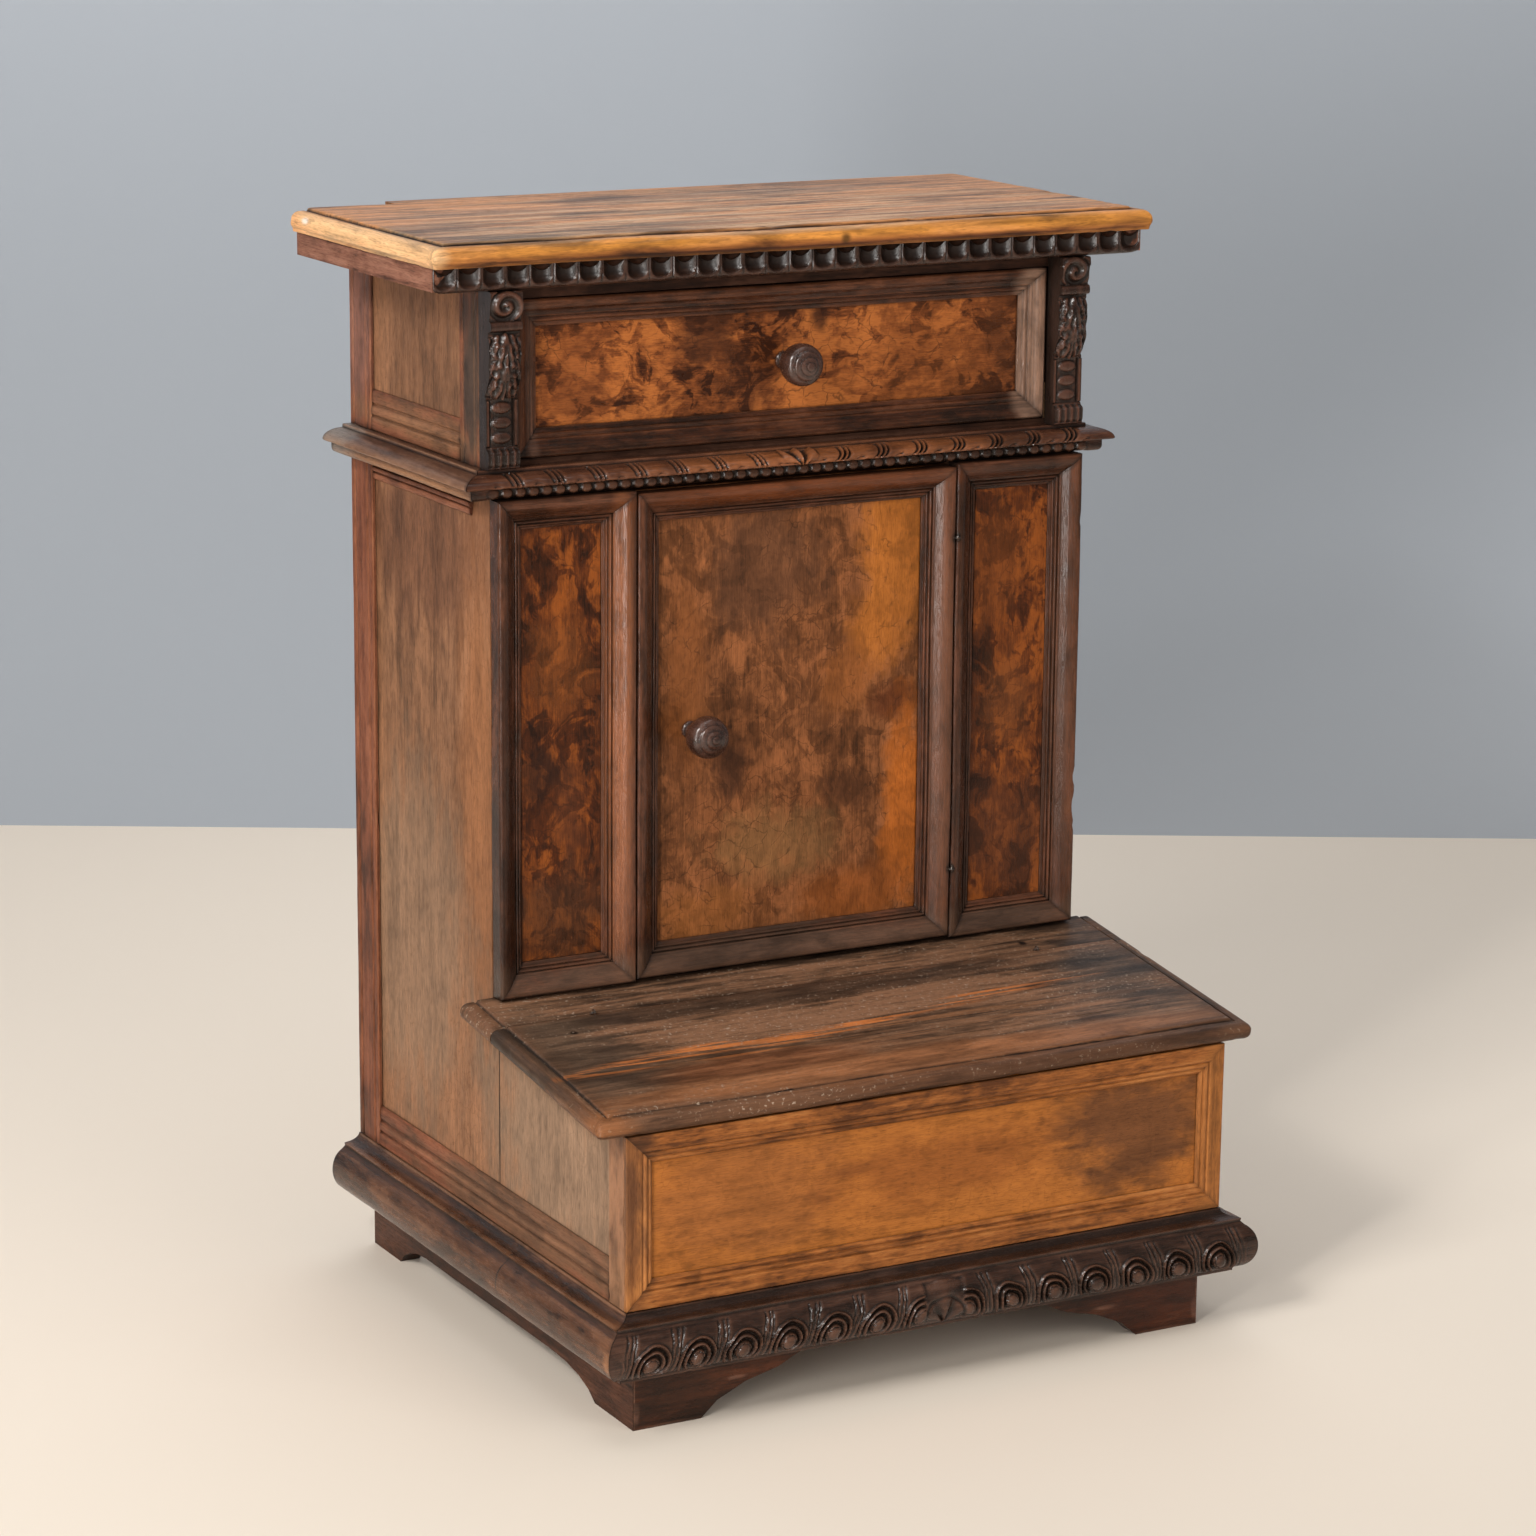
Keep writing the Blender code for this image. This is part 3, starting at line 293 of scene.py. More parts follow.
def weather(mesh, joint, tone, wobble, nicks, rounds, bites):
    """Wear the ridges and nick the edges of a mesh.

    Its patina attribute keeps how hollow, how worn and how light each point is.
    """
    full_ridge, full_hollow = 0.0004, 0.0003
    count = len(mesh.vertices)
    points, normals = np.empty(count * 3), np.empty(count * 3)
    mesh.vertices.foreach_get("co", points)
    mesh.vertex_normals.foreach_get("vector", normals)
    points, normals = points.reshape(-1, 3), normals.reshape(-1, 3)
    edges = np.empty(len(mesh.edges) * 2, dtype=np.int32)
    mesh.edges.foreach_get("vertices", edges)
    one, other = edges.reshape(-1, 2).T
    shared = np.maximum(np.bincount(one, minlength=count) + np.bincount(other, minlength=count), 1)
    soft = points.copy()
    for _ in range(rounds):
        soft = np.stack([(np.bincount(one, soft[other, axis], count) +
                          np.bincount(other, soft[one, axis], count)) / shared for axis in range(3)], 1)
    proud = ((points - soft) * normals).sum(1)
    wear = np.clip(proud / full_ridge, 0, 1) * (1 - joint)
    hollow = np.clip(np.clip(-proud / full_hollow, 0, 1) + joint * 0.6, 0, 1)
    chips = np.zeros(count)
    for size, seed, rarity, gain in ((0.006, 1, 0.35, 1.6), (0.0022, 2, 0.55, 1), (0.017, 4, 0.60, 6)):
        chips += np.clip(cloud(points, size, seed) - rarity, 0, 1) * gain * wear
    for centre, radius, depth in bites:
        near = np.clip(1 - ((points - centre) ** 2).sum(1) / radius ** 2, 0, 1)
        chips += depth / max(nicks, 1e-6) * near * (0.7 + 0.3 * cloud(points, 0.004, 6)) * (proud > 0)
    stray = np.stack([cloud(points, 0.14, 7 + axis) for axis in range(3)], 1) * wobble * 2.5
    points = points + stray - normals * (wobble * cloud(points, 0.03, 3) + nicks * chips)[:, None]
    mesh.vertices.foreach_set("co", points.ravel())
    patina = mesh.attributes.new("patina", "FLOAT_VECTOR", "POINT")
    patina.data.foreach_set("vector", np.stack((hollow, np.clip(wear + chips, 0, 1), tone), 1).ravel())
    mesh.update()


def finish_node(node, finish):
    """Put one finish on a CAD node."""
    node.data.materials.clear()
    node.data.materials.append(finish)
    node.material_slots[0].material = finish


def dress(names, finish):
    """Give CAD nodes a finish and a small worn edge."""
    for name in names:
        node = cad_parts[name]
        finish_node(node, finish)
        worn = node.modifiers.new("worn edge", "BEVEL")
        worn.width = 0.0006
        worn.segments = 2
        worn.limit_method = "ANGLE"
        worn.angle_limit = math.radians(40)
        worn.harden_normals = True


# Materials

class Wire:
    """An output of a shader node, on which sums can be written."""

    def __init__(self, nodes, socket):
        self.nodes = nodes
        self.socket = socket

    def work(self, operation, first, second=0.0):
        """Add a Math node, or a Vector Math node where either value is a vector."""
        vector = any(isinstance(item, tuple) or isinstance(item, Wire) and item.socket.type == "VECTOR"
                     for item in (first, second))
        kind = "ShaderNodeVectorMath" if vector else "ShaderNodeMath"
        return self.nodes.add(kind, {"operation": operation}, {0: first, 1: second})

    def __add__(self, other):
        return self.work("ADD", self, other)

    def __radd__(self, other):
        return self.work("ADD", other, self)

    def __sub__(self, other):
        return self.work("SUBTRACT", self, other)

    def __rsub__(self, other):
        return self.work("SUBTRACT", other, self)

    def __mul__(self, other):
        return self.work("MULTIPLY", self, other)

    def __rmul__(self, other):
        return self.work("MULTIPLY", other, self)

    def above(self, low, high):
        """Rise smoothly from 0 to 1 between two values, or fall where the first is the higher."""
        settings = {"interpolation_type": "SMOOTHSTEP"}
        if low < high:
            return self.nodes.add("ShaderNodeMapRange", settings, {"Value": self, 1: low, 2: high})
        return 1 - self.nodes.add("ShaderNodeMapRange", settings, {"Value": self, 1: high, 2: low})


class Nodes:
    """The nodes of one material."""

    def __init__(self, material):
        material.use_nodes = True
        self.tree = material.node_tree
        self.tree.nodes.clear()

    def add(self, kind, settings, sockets, output=0):
        """Add a node: its settings are set first, then its sockets get values or links."""
        node = self.tree.nodes.new(kind)
        for name, value in settings.items():
            if name == "stops":
                ramp = node.color_ramp
                while len(ramp.elements) < len(value):
                    ramp.elements.new(1)
                for element, (position, colour) in zip(ramp.elements, value):
                    element.position = position
                    element.color = (*colour, 1)
            else:
                setattr(node, name, value)
        for name, value in sockets.items():
            socket = node.inputs[name]
            if isinstance(value, Wire):
                self.tree.links.new(value.socket, socket)
            elif socket.type == "RGBA" and len(value) < 4:
                socket.default_value = (*value, 1)
            else:
                socket.default_value = value
        return Wire(self, node.outputs[output]) if node.outputs else None

    def place(self):
        """A point's place in the object."""
        return self.add("ShaderNodeTexCoord", {}, {}, "Object")

    def kept(self, name):
        """An attribute of the mesh."""
        return self.add("ShaderNodeAttribute", {"attribute_name": name}, {}, "Vector")

    def mix(self, share, first, second):
        """Mix two colours."""
        settings = {"data_type": "RGBA", "clamp_factor": True}
        return self.add("ShaderNodeMix", settings, {0: share, 6: first, 7: second}, 2)

    def noise(self, place, scale, detail=2.0, distortion=0.0, rough=0.5):
        """Noise at a scale for each direction of the place."""
        sockets = {"Vector": place * scale, "Scale": 1.0, "Detail": detail, "Distortion": distortion,
                   "Roughness": rough}
        return self.add("ShaderNodeTexNoise", {}, sockets, "Fac")

    def bent(self, place, scale, reach):
        """The place, pushed about by noise."""
        push = self.add("ShaderNodeTexNoise", {}, {"Vector": place, "Scale": scale, "Detail": 3.0}, "Color")
        return place + (push - (0.5, 0.5, 0.5)) * (reach, reach, reach)

    def split(self, place, axis):
        """One number of a place."""
        return self.add("ShaderNodeSeparateXYZ", {}, {0: place}, axis)

    def away(self, place, centre, radii):
        """How many radii a place lies from a centre."""
        inverse = tuple(1 / radius for radius in radii)
        scaled = (place - centre) * inverse
        return self.add("ShaderNodeVectorMath", {"operation": "LENGTH"}, {0: scaled}, "Value")

    def bump(self, strength, distance, height):
        """A normal that follows a height."""
        return self.add("ShaderNodeBump", {}, {"Strength": strength, "Distance": distance, "Height": height})

    def surface(self, shader):
        """End the material with its shader."""
        self.add("ShaderNodeOutputMaterial", {}, {"Surface": shader})


def shades(colour, *factors):
    """A colour, made deeper or brighter by each factor."""
    return tuple(tuple(np.minimum(np.array(colour) * factor, 1)) for factor in factors)


def front_stains(face, rows, thick=0.05):
    """Stains on an upright front: each row is a place across and up, its radii, a colour and a strength."""
    return [((across, face, up), (wide, thick, tall), colour, strength)
            for across, up, wide, tall, colour, strength in rows]


def side_stains(face, rows, thick=0.05):
    """Stains on both sides: each row is a place deep and up, its radii, a colour and a strength."""
    return [((side * face, deep, up), (thick, long, tall), colour, strength)
            for _, side in SIDES for deep, up, long, tall, colour, strength in rows]


def walnut(name, palette, grain=None, streak=1.0, mottle=1.0, burr=0.0, stretch=2.5, grime=0.3, soot_and_shade=0.8,
           worn=0.5, worn_colour=(0.42, 0.2, 0.09), rough=0.42, shine=0.16, stains=(), splits=(), bump=0.3,
           ring=55.0, crackle=0.0, dust=0.0, upper=False):
    """Old polished walnut. The palette's three colours, from the deepest to the brightest, follow its grain.

    Each stain is a centre, the radii of its soft edge, its colour and its strength. A split is the same, and
    shows as thin bright threads there. A CAD node has no grain of its own, so grain names the axis that it
    follows there. A burr shows only on the front, and with upper the stains and dust stay off the underside.
    """
    dark = tuple(bpy.context.scene.walnut_finishes.soot_and_shade)
    material = bpy.data.materials.new(name)
    nodes = Nodes(material)
    place = nodes.place()
    if grain:
        parts = [nodes.split(place, axis) for axis in {"X": (0, 2, 1), "Y": (1, 2, 0), "Z": (2, 0, 1)}[grain]]
        fibre = nodes.add("ShaderNodeCombineXYZ", {}, dict(enumerate(parts)))
        hollow = wear = None
        tone = 0.5
    else:
        fibre = nodes.kept("grain")
        hollow, wear, tone = (nodes.split(nodes.kept("patina"), axis) for axis in range(3))

    # The figure: noise stretched along the fibre, from broad clouds down to hairs
    rings = nodes.noise(fibre, (3.0, ring, ring), 5.0, 0.8, 0.6)
    lines = nodes.noise(fibre, (7.0, 260.0, 260.0), 3.0, 0.3, 0.6)
    hairs = nodes.noise(fibre, (60.0, 1100.0, 1100.0), 1.0)
    large = nodes.noise(fibre, (9.0 / stretch, 10.0, 10.0), 4.0, 0.7, 0.55)
    small = nodes.noise(fibre, (62.0 / stretch, 62.0, 62.0), 4.0, 0.4, 0.6)
    flecks = nodes.noise(fibre, (150.0 / stretch, 210.0, 210.0), 4.0, 0.5, 0.65)
    facing = nodes.add("ShaderNodeTexCoord", {}, {}, "Normal")
    over = nodes.split(facing, 2).above(-0.7, -0.3) if upper else 1.0
    level = (0.5 + (rings - 0.5) * (1.5 * streak) + (lines - 0.5) * (1.4 * streak)
             + (large - 0.5) * (1.7 * mottle) + (small - 0.5) * (1.3 * mottle)
             + (flecks - 0.5) * (1.3 * mottle) + (hairs - 0.5) * 0.5 + (tone - 0.5) * 0.6)
    if burr:
        bent = nodes.bent(fibre, 16.0, 0.04)
        whorls = nodes.noise(bent, (15.0, 22.0, 22.0), 7.0, 0.5, 0.6)
        curls = whorls.work("PINGPONG", whorls * 12.0, 1.0)
        patches = nodes.noise(bent, (30.0, 38.0, 38.0), 7.0, 0.8, 0.62).above(0.50, 0.56)
        front = nodes.split(facing, 1).above(0.5, -0.5)
        level = level + ((whorls - 0.5) * 1.7 + (curls - 0.5) * 0.32 - patches * 0.42 + 0.16) * (front * burr)
    stops = list(zip((0.0, 0.5, 1.0), palette))
    colour = nodes.add("ShaderNodeValToRGB", {"stops": stops}, {"Fac": level})

    # Stains with ragged edges, bright threads where the surface has split, and open pores
    edge = (small - 0.5) * 1.3 + (rings - 0.5) * 0.5 + (large - 0.5) * 1.4
    for centre, radii, stain, strength in stains:
        mask = (nodes.away(place, centre, radii) + edge).above(1.25, 0.45) * strength * over
        deep, bright = shades(stain, 0.55, 1.12)
        colour = nodes.mix(mask, colour, nodes.mix(level * 0.9, deep, bright))
    threads = nodes.noise(fibre, (4.5, 120.0, 120.0), 5.0, 0.5, 0.62).above(0.49, 0.55)
    for centre, radii, stain, strength in splits:
        mask = (nodes.away(place, centre, radii) + edge * 0.5).above(1.15, 0.35) * threads * strength * over
        colour = nodes.mix(mask, colour, nodes.mix(level, *shades(stain, 0.7, 1)))
    pores = nodes.noise(fibre, (140.0, 2400.0, 2400.0), 0.0).above(0.60, 0.68)
    colour = nodes.mix(pores * 0.3, colour, dark)

    # Rubbed edges, then grime in specks, hollows and cracks, and painted shade in corners and between parts,
    # then dust
    specks = (flecks * 0.7 + small * 0.5).above(0.665, 0.72)
    dirt_and_shade = (large * 0.6 + small * 0.9).above(0.80, 0.55) * grime + specks * (0.6 * mottle * grime)
    if hollow is not None:
        dirt_and_shade = dirt_and_shade + hollow * (0.8 + (small - 0.5) * 1.2)
        rubbed = wear * (small * 0.8 + large * 0.8).above(0.45, 0.90) * worn
        colour = nodes.mix(rubbed, colour, worn_colour)
    if crackle:
        cells = nodes.add("ShaderNodeTexVoronoi", {"feature": "DISTANCE_TO_EDGE"},
                          {"Vector": nodes.bent(place, 40.0, 0.03), "Scale": 55.0}, "Distance")
        dirt_and_shade = dirt_and_shade + cells.above(0.035, 0.008) * (large + small).above(0.98, 1.18) * crackle
    # Painted shade: ambient occlusion darkens the colour in corners and between parts, on top of the real
    # grime
    corners = nodes.add("ShaderNodeAmbientOcclusion", {"samples": 4}, {"Distance": 0.014}, "AO")
    dirt_and_shade = dirt_and_shade + corners.above(0.75, 0.25) * 0.7
    colour = nodes.mix(dirt_and_shade * soot_and_shade, colour, dark)
    if dust:
        motes = nodes.noise(place, (300.0, 300.0, 300.0), 3.0, 0.0, 0.7).above(0.60, 0.66)
        dusty = (large + small * 0.6).above(0.70, 0.95) * dust * over
        colour = nodes.mix(motes * dusty, colour, (0.36, 0.27, 0.20))

    gloss = rough + (large - 0.5) * 0.3 + (small - 0.5) * 0.25 + dirt_and_shade * 0.12 + pores * 0.15
    height = hairs * 0.25 + lines * 0.35 - pores * 0.6 + small * 0.6
    nodes.surface(nodes.add("ShaderNodeBsdfPrincipled", {}, {
        "Base Color": colour, "Roughness": gloss, "Normal": nodes.bump(bump, 0.0009, height), "IOR": 1.46,
        "Specular IOR Level": shine}))
    return material


def bare_poplar(name, grain=None):
    """The plain wood inside, never polished."""
    palette = shades(bpy.context.scene.walnut_finishes.poplar, 0.55, 1, 1.35)
    return walnut(name, palette, grain, 1.1, 0.4, grime=0.1, worn=0.2, rough=0.72, soot_and_shade=0.6, bump=0.5)


def forged_iron():
    """Wire with old rust on it."""
    material = bpy.data.materials.new("forged iron wire")
    nodes = Nodes(material)
    rust = nodes.noise(nodes.place(), (420.0, 420.0, 420.0), 4.0).above(0.45, 0.62)
    colour = nodes.mix(rust, tuple(bpy.context.scene.walnut_finishes.iron), (0.11, 0.045, 0.02))
    nodes.surface(nodes.add("ShaderNodeBsdfPrincipled", {}, {
        "Base Color": colour, "Roughness": 0.38 + rust * 0.35, "Metallic": 1 - rust * 0.8,
        "Normal": nodes.bump(0.4, 0.0003, rust)}))
    return material


# Sizes and colours that a user may change

def tint(name, description, default):
    """A colour."""
    return FloatVectorProperty(name=name, description=description, default=default, subtype="COLOR",
                               size=3, min=0, max=1)


def distance(name, description, default):
    """A length in metres."""
    return FloatProperty(name=name, description=description, default=default, subtype="DISTANCE",
                         unit="LENGTH")


def power(name, description, default):
    """A lamp's power in watts."""
    return FloatProperty(name=name, description=description, default=default, unit="POWER")


class WalnutFinishes(bpy.types.PropertyGroup):
    """The colours of the woods and metals."""

    honey: tint("Honey", "The worn top board", (0.49, 0.215, 0.088))
    golden: tint("Golden", "Edges that hands have rubbed", (0.62, 0.250, 0.045))
    olive: tint("Olive", "The side boards", (0.255, 0.121, 0.061))
    russet: tint("Russet", "The door and pilaster mouldings", (0.056, 0.020, 0.010))
    umber: tint("Umber", "The carved strip and corbels under the top", (0.026, 0.012, 0.008))
    orange: tint("Orange", "The bright figure of the door panel", (0.36, 0.115, 0.020))
    brown: tint("Brown", "The quiet part of the door panel", (0.142, 0.050, 0.0175))
    amber: tint("Amber", "The kneeler's front board", (0.37, 0.125, 0.025))
    # This colour also paints the shade in corners and between parts
    soot_and_shade: tint("Soot", "Old wax and dirt in the hollows", (0.012, 0.007, 0.005))
    poplar: tint("Poplar", "The wood inside", (0.37, 0.218, 0.118))
    iron: tint("Iron", "The wire of the hinges", (0.16, 0.15, 0.14))


class CarvingSizes(bpy.types.PropertyGroup):
    """The sizes of the carving and of the worn mouldings."""

    flutes: IntProperty(name="Flutes", description="Flutes along the strip under the top", default=31, min=3)
    flute_depth: distance("Flute depth", "How deep each flute is cut", 0.0060)
    leaf_pitch: distance("Leaf pitch", "From one waist leaf to the next", 0.037)
    bead_pitch: distance("Bead pitch", "From one waist bead to the next", 0.0118)
    scale_pitch: distance("Scale pitch", "From one base ornament to the next", 0.041)
    wobble: distance("Wobble", "How far a handmade face strays", 0.00022)
    nicks: distance("Nicks", "How deep the chips in the edges go", 0.0009)


class StageSizes(bpy.types.PropertyGroup):
    """The floor, the backdrop, the lamps and the camera."""

    floor: tint("Floor", "The plain floor", (0.81, 0.717, 0.612))
    wall: tint("Wall", "The plain backdrop", (0.390, 0.432, 0.490))
    key_power: power("Key lamp", "The large lamp on the left", 72)
    strip_power: power("Strip lamp", "The tall, low lamp on the left", 34)
    spark_power: power("Spark lamp", "The small lamp that lights up polished edges", 16)
    fill_power: power("Fill lamp", "The weaker lamp on the right", 38)
    top_power: power("Overhead lamp", "The lamp over the object", 22)
    rear_power: power("Rear lamp", "The weak lamp behind the object", 22)
    daylight: FloatProperty(name="Daylight", description="The strength of the light from all round",
                            default=0.20, min=0)
    focal_length: FloatProperty(name="Focal length", description="The camera's lens, in millimetres",
                                default=106.25, subtype="DISTANCE_CAMERA", unit="CAMERA")


# The top board and what is carved under it

def nose_layers(thickness, end, groove=0.003, drop=0.0014):
    """The inset and drop of each layer, from inside the scribed line round the nose to an angle below."""
    radius, half = (thickness - drop) / 2, groove / 2
    layers = [(SCRIBED + inside, 0) for inside in (0.050, 0.034, 0.022, 0.013, 0.006, half + 0.0009)]
    layers += [(SCRIBED + half + 0.0002, -0.0004), (SCRIBED + half * 0.7, -drop - 0.0004),
               (SCRIBED, -drop - 0.0010), (SCRIBED - half * 0.6, -drop - 0.0007), (SCRIBED - half, -drop)]
    for angle in np.linspace(math.radians(86), end, 15):
        layers.append((radius - radius * math.cos(angle), -drop - radius + radius * math.sin(angle)))
    if end > math.radians(-80):
        inset = layers[-1][0]
        layers += [(inset + 0.0006, -thickness + 0.0004), (inset + 0.0018, -thickness)]
    return layers


def round_path(half, front, rear_left, rear_right, corner=0.004):
    """A path along the left, front and right edge of a board for any inset."""
    pitch = 0.006
    sides = [max(2, math.ceil((rear - front) / pitch)) for rear in (rear_left, rear_right)]
    middle = math.ceil(half * 2 / pitch)
    turn = np.radians(np.linspace(0, 90, 6)[1:-1])

    def path(inset):
        outer, near = half - inset, front + inset
        radius = max(corner - inset * 0.4, 0.0006)
        left = np.linspace(rear_left, near + radius, sides[0])
        right = np.linspace(near + radius, rear_right, sides[1])
        across = np.linspace(radius - outer, outer - radius, middle)
        points = [(-outer, deep) for deep in left]
        points += [(-outer + radius - radius * math.cos(angle), near + radius - radius * math.sin(angle))
                   for angle in turn]
        points += [(place, near) for place in across]
        points += [(outer - radius + radius * math.sin(angle), near + radius - radius * math.cos(angle))
                   for angle in turn]
        return points + [(outer, deep) for deep in right]

    return path


def build_top(sizes, finishes):
    """The top board with its scribed line, and the bands under its sides."""
    low, high = cad("top_board")
    front, top = low[1], high[2]
    golden = tuple(finishes.golden)
    stains = [((-0.20, 0.16, top), (0.12, 0.03, 0.02), (0.44, 0.25, 0.15), 0.45),
              ((0.05, 0.21, top), (0.20, 0.03, 0.02), (0.24, 0.125, 0.075), 0.6),
              ((0.18, 0.03, top), (0.16, 0.05, 0.02), (0.30, 0.16, 0.095), 0.55),
              ((-0.29, 0.05, top), (0.05, 0.09, 0.02), (0.30, 0.15, 0.085), 0.55),
              ((-0.05, 0.02, top), (0.20, 0.03, 0.02), (0.38, 0.19, 0.10), 0.5)]
    for index in range(9):
        across = low[0] + 0.03 + index * 0.078
        strength = 0.9 if index % 3 else 0.6
        stains.append(((across, front + 0.001, top - 0.009), (0.060, 0.012, 0.014), golden, strength))
    stains += [((0, front + 0.004, top - 0.0152), (0.42, 0.014, 0.0060), (0.27, 0.085, 0.028), 0.95),
               ((0, front + 0.004, top - 0.0182), (0.42, 0.014, 0.0040), (0.07, 0.020, 0.009), 1.0),
               ((0.31, front + 0.002, top - 0.010), (0.018, 0.02, 0.012), (0.40, 0.145, 0.050), 0.3)]
    for deep in (0.02, 0.11, 0.20):
        stains.append(((low[0], deep, top - 0.006), (0.016, 0.095, 0.018), (0.86, 0.55, 0.29), 0.9))
    pale_chip = front + 0.84 * (high[1] - front)
    stains += [((0.035, front, top - 0.012), (0.006, 0.01, 0.006), (0.02, 0.01, 0.006), 1.0),
               ((low[0], pale_chip, top - 0.007), (0.02, 0.010, 0.004), (0.80, 0.74, 0.66), 1.0)]
    fair = [((0.0, 0.05, top), (0.40, 0.24, 0.006), (0.72, 0.45, 0.26), 0.85)]
    finish = walnut("honey walnut top", shades(finishes.honey, 0.35, 0.9, 1.5), streak=1.5, mottle=0.9,
                    stretch=5.0, grime=0.6, worn=0.2, worn_colour=golden, shine=0.22, stains=stains,
                    splits=fair, soot_and_shade=0.95, ring=110.0)
    missing_wide, missing_deep = 0.095, 0.020
    notch, corner = high[1] - missing_deep, low[0] + missing_wide
    shape = Shape(1)
    shape.board(nose_layers(0.019, math.radians(-38), 0.0036, 0.0022),
                round_path(high[0], front, notch, high[1]), ((corner, high[1]), (corner, notch)),
                Matrix.Translation((0, 0, top)))
    shape.piece("top_board_worn", ["top_board"], "case", "top_walnut", finish, rounds=8)
    brown = (0.07, 0.027, 0.016), (0.20, 0.082, 0.050), (0.31, 0.145, 0.095)
    dress(["top_band_left", "top_band_right"], walnut("brown walnut band", brown, "Y", rough=0.45, soot_and_shade=0.6))


def build_fluted_strip(sizes, finishes):
    """The strip of upright flutes under the top's front edge."""
    low, high = cad("fluted_strip")
    depth, tall = high[1] - low[1], high[2] - low[2]
    pitch = (high[0] - low[0]) / sizes.flutes
    flute_radius, flute_foot = pitch * 0.455, 0.0118
    toe, slant = 0.0055, 0.054
    outline = [(0, 0), (0, depth - toe - 0.002)] + bow((toe, depth - toe), (toe, toe), -90, 0, 6)
    outline += [(tall, depth), (tall, 0)]

    def carve(reach, up, out):
        across = (((reach - low[0]) / pitch) % 1 - 0.5) * pitch
        away = np.hypot(across, np.minimum(up - flute_foot, 0)) / flute_radius
        scoop = np.clip(1 - away ** 2, 0, 1)
        ridge = 0.0010 * hump(np.abs(across) - pitch / 2, 0.0006) * step_up(up, 0.001, 0.004)
        return np.where(out > depth - 0.010, -sizes.flute_depth * scoop - ridge, 0)

    shape = Shape(2)
    half = high[0] - slant
    shape.length(fine(outline, CLOSE), (-half, half), (0, high[1], low[2]), X, Z, -Y,
                 (-slant / depth, -slant / depth), 1, CLOSE, carve)
    finish = walnut("black walnut flutes", shades(finishes.umber, 0.4, 0.8, 1.8),
                    worn_colour=(0.10, 0.045, 0.028), rough=0.27, shine=0.55, soot_and_shade=0.3)
    shape.piece("fluted_strip_carved", ["fluted_strip"], "case", "dark_walnut", finish, nicks=0.0005)


CORBEL_SHARES = ((0, 0), (0, 0.66), (0.03, 0.76), (0.10, 0.76), (0.125, 0.52), (0.13, 0.48), (0.39, 0.48),
                 (0.41, 0.58), (0.45, 0.74), (0.52, 0.86), (0.62, 0.94), (0.71, 0.90), (0.75, 0.80),
                 (0.757, 0.74), (0.775, 0.74), (0.78, 0.92), (0.79, 0.97), (0.82, 0.97), (0.83, 0.92),
                 (0.835, 0.80), (0.855, 0.84), (0.90, 0.95), (0.95, 1), (1, 0.96), (1, 0))


def corbel_carving(low, high, side):
    """The relief of a corbel: ribs at its foot, three ovals in a frame, a leaf, and a volute on top."""
    tall, deep = high[2] - low[2], high[1] - low[1]
    middle, half = (low[0] + high[0]) / 2, (high[0] - low[0]) / 2
    rib_top, block_foot, block_top, leaf_foot, leaf_top, volute_foot = 0.12, 0.13, 0.39, 0.40, 0.755, 0.835

    def carve(reach, up, out):
        across = (reach - middle) / half
        share = up / tall
        rise = (share - 0.915) * tall
        curl = np.hypot(across * half / 0.0125, rise / 0.0115)
        swirl = np.arctan2(rise, across * half * side)
        volute = 0.0017 * np.cos(curl * 8.0 - swirl + 0.9) * (curl < 1.2) * (share > volute_foot)
        leaf_up = np.clip((share - leaf_foot) / (leaf_top - leaf_foot), 0, 1)
        lobes = 0.66 + 0.28 * np.abs(np.sin(leaf_up * math.pi * 3.2))
        leaf = np.where(np.abs(across) < lobes, 0.0012 * np.cos(across * 2.2), -0.0022)
        veins = np.cos((np.abs(across) * 1.7 + leaf_up * 1.3) * 9)
        leaf = leaf + 0.0007 * veins + 0.0014 * hump(across, 0.10)
        oval = 0
        for number in range(3):
            rise = (share - 0.46 - 0.108 * number) * tall
            off = np.abs(across) * half - 0.0078
            away = np.hypot(rise, off) / 0.0082
            leaf = leaf + 0.0019 * np.cos(away * 5.2 - np.arctan2(rise, off)) * np.clip(1.2 - away, 0, 0.6)
            height = 0.175 + number * 0.085
            oval = oval + 0.0030 * dome(np.hypot(across / 0.62, (share - height) / 0.034))
        leaf = leaf * (share > leaf_foot) * (share < leaf_top)
        border = 0.0018 * (np.abs(across) > 0.80) - 0.0012 * hump(np.abs(across) - 0.74, 0.05)
        block = (oval + border) * (share > block_foot) * (share < block_top)
        ribs = -0.0013 * np.abs(np.cos(across * math.pi * 2.25)) * (share < rib_top) * (share > 0.012)
        return (volute + leaf + block + ribs) * (out > deep * 0.30)

    return carve


def build_corbels(sizes, finishes):
    """The carved bracket at each side of the drawer."""
    finish = walnut("black walnut corbel", shades(finishes.umber, 0.4, 1.1, 2.5), worn=0.6,
                    worn_colour=(0.11, 0.040, 0.022), rough=0.22, shine=0.5, soot_and_shade=1.0)
    for label, side in SIDES:
        name = "corbel_" + label
        low, high = cad(name)
        outline = moulding(CORBEL_SHARES, high[2] - low[2], high[1] - low[1], 0.002)
        shape = Shape(3 + side)
        shape.length(outline, (low[0], high[0]), (0, high[1], low[2]), X, Z, -Y, step=CLOSE,
                     carve=corbel_carving(low, high, side), cross=True)
        shape.piece("corbel_carved_" + label, [name], "case", "dark_walnut", finish, 0.0001, 0.0004)


# Mitred frames and the drawer

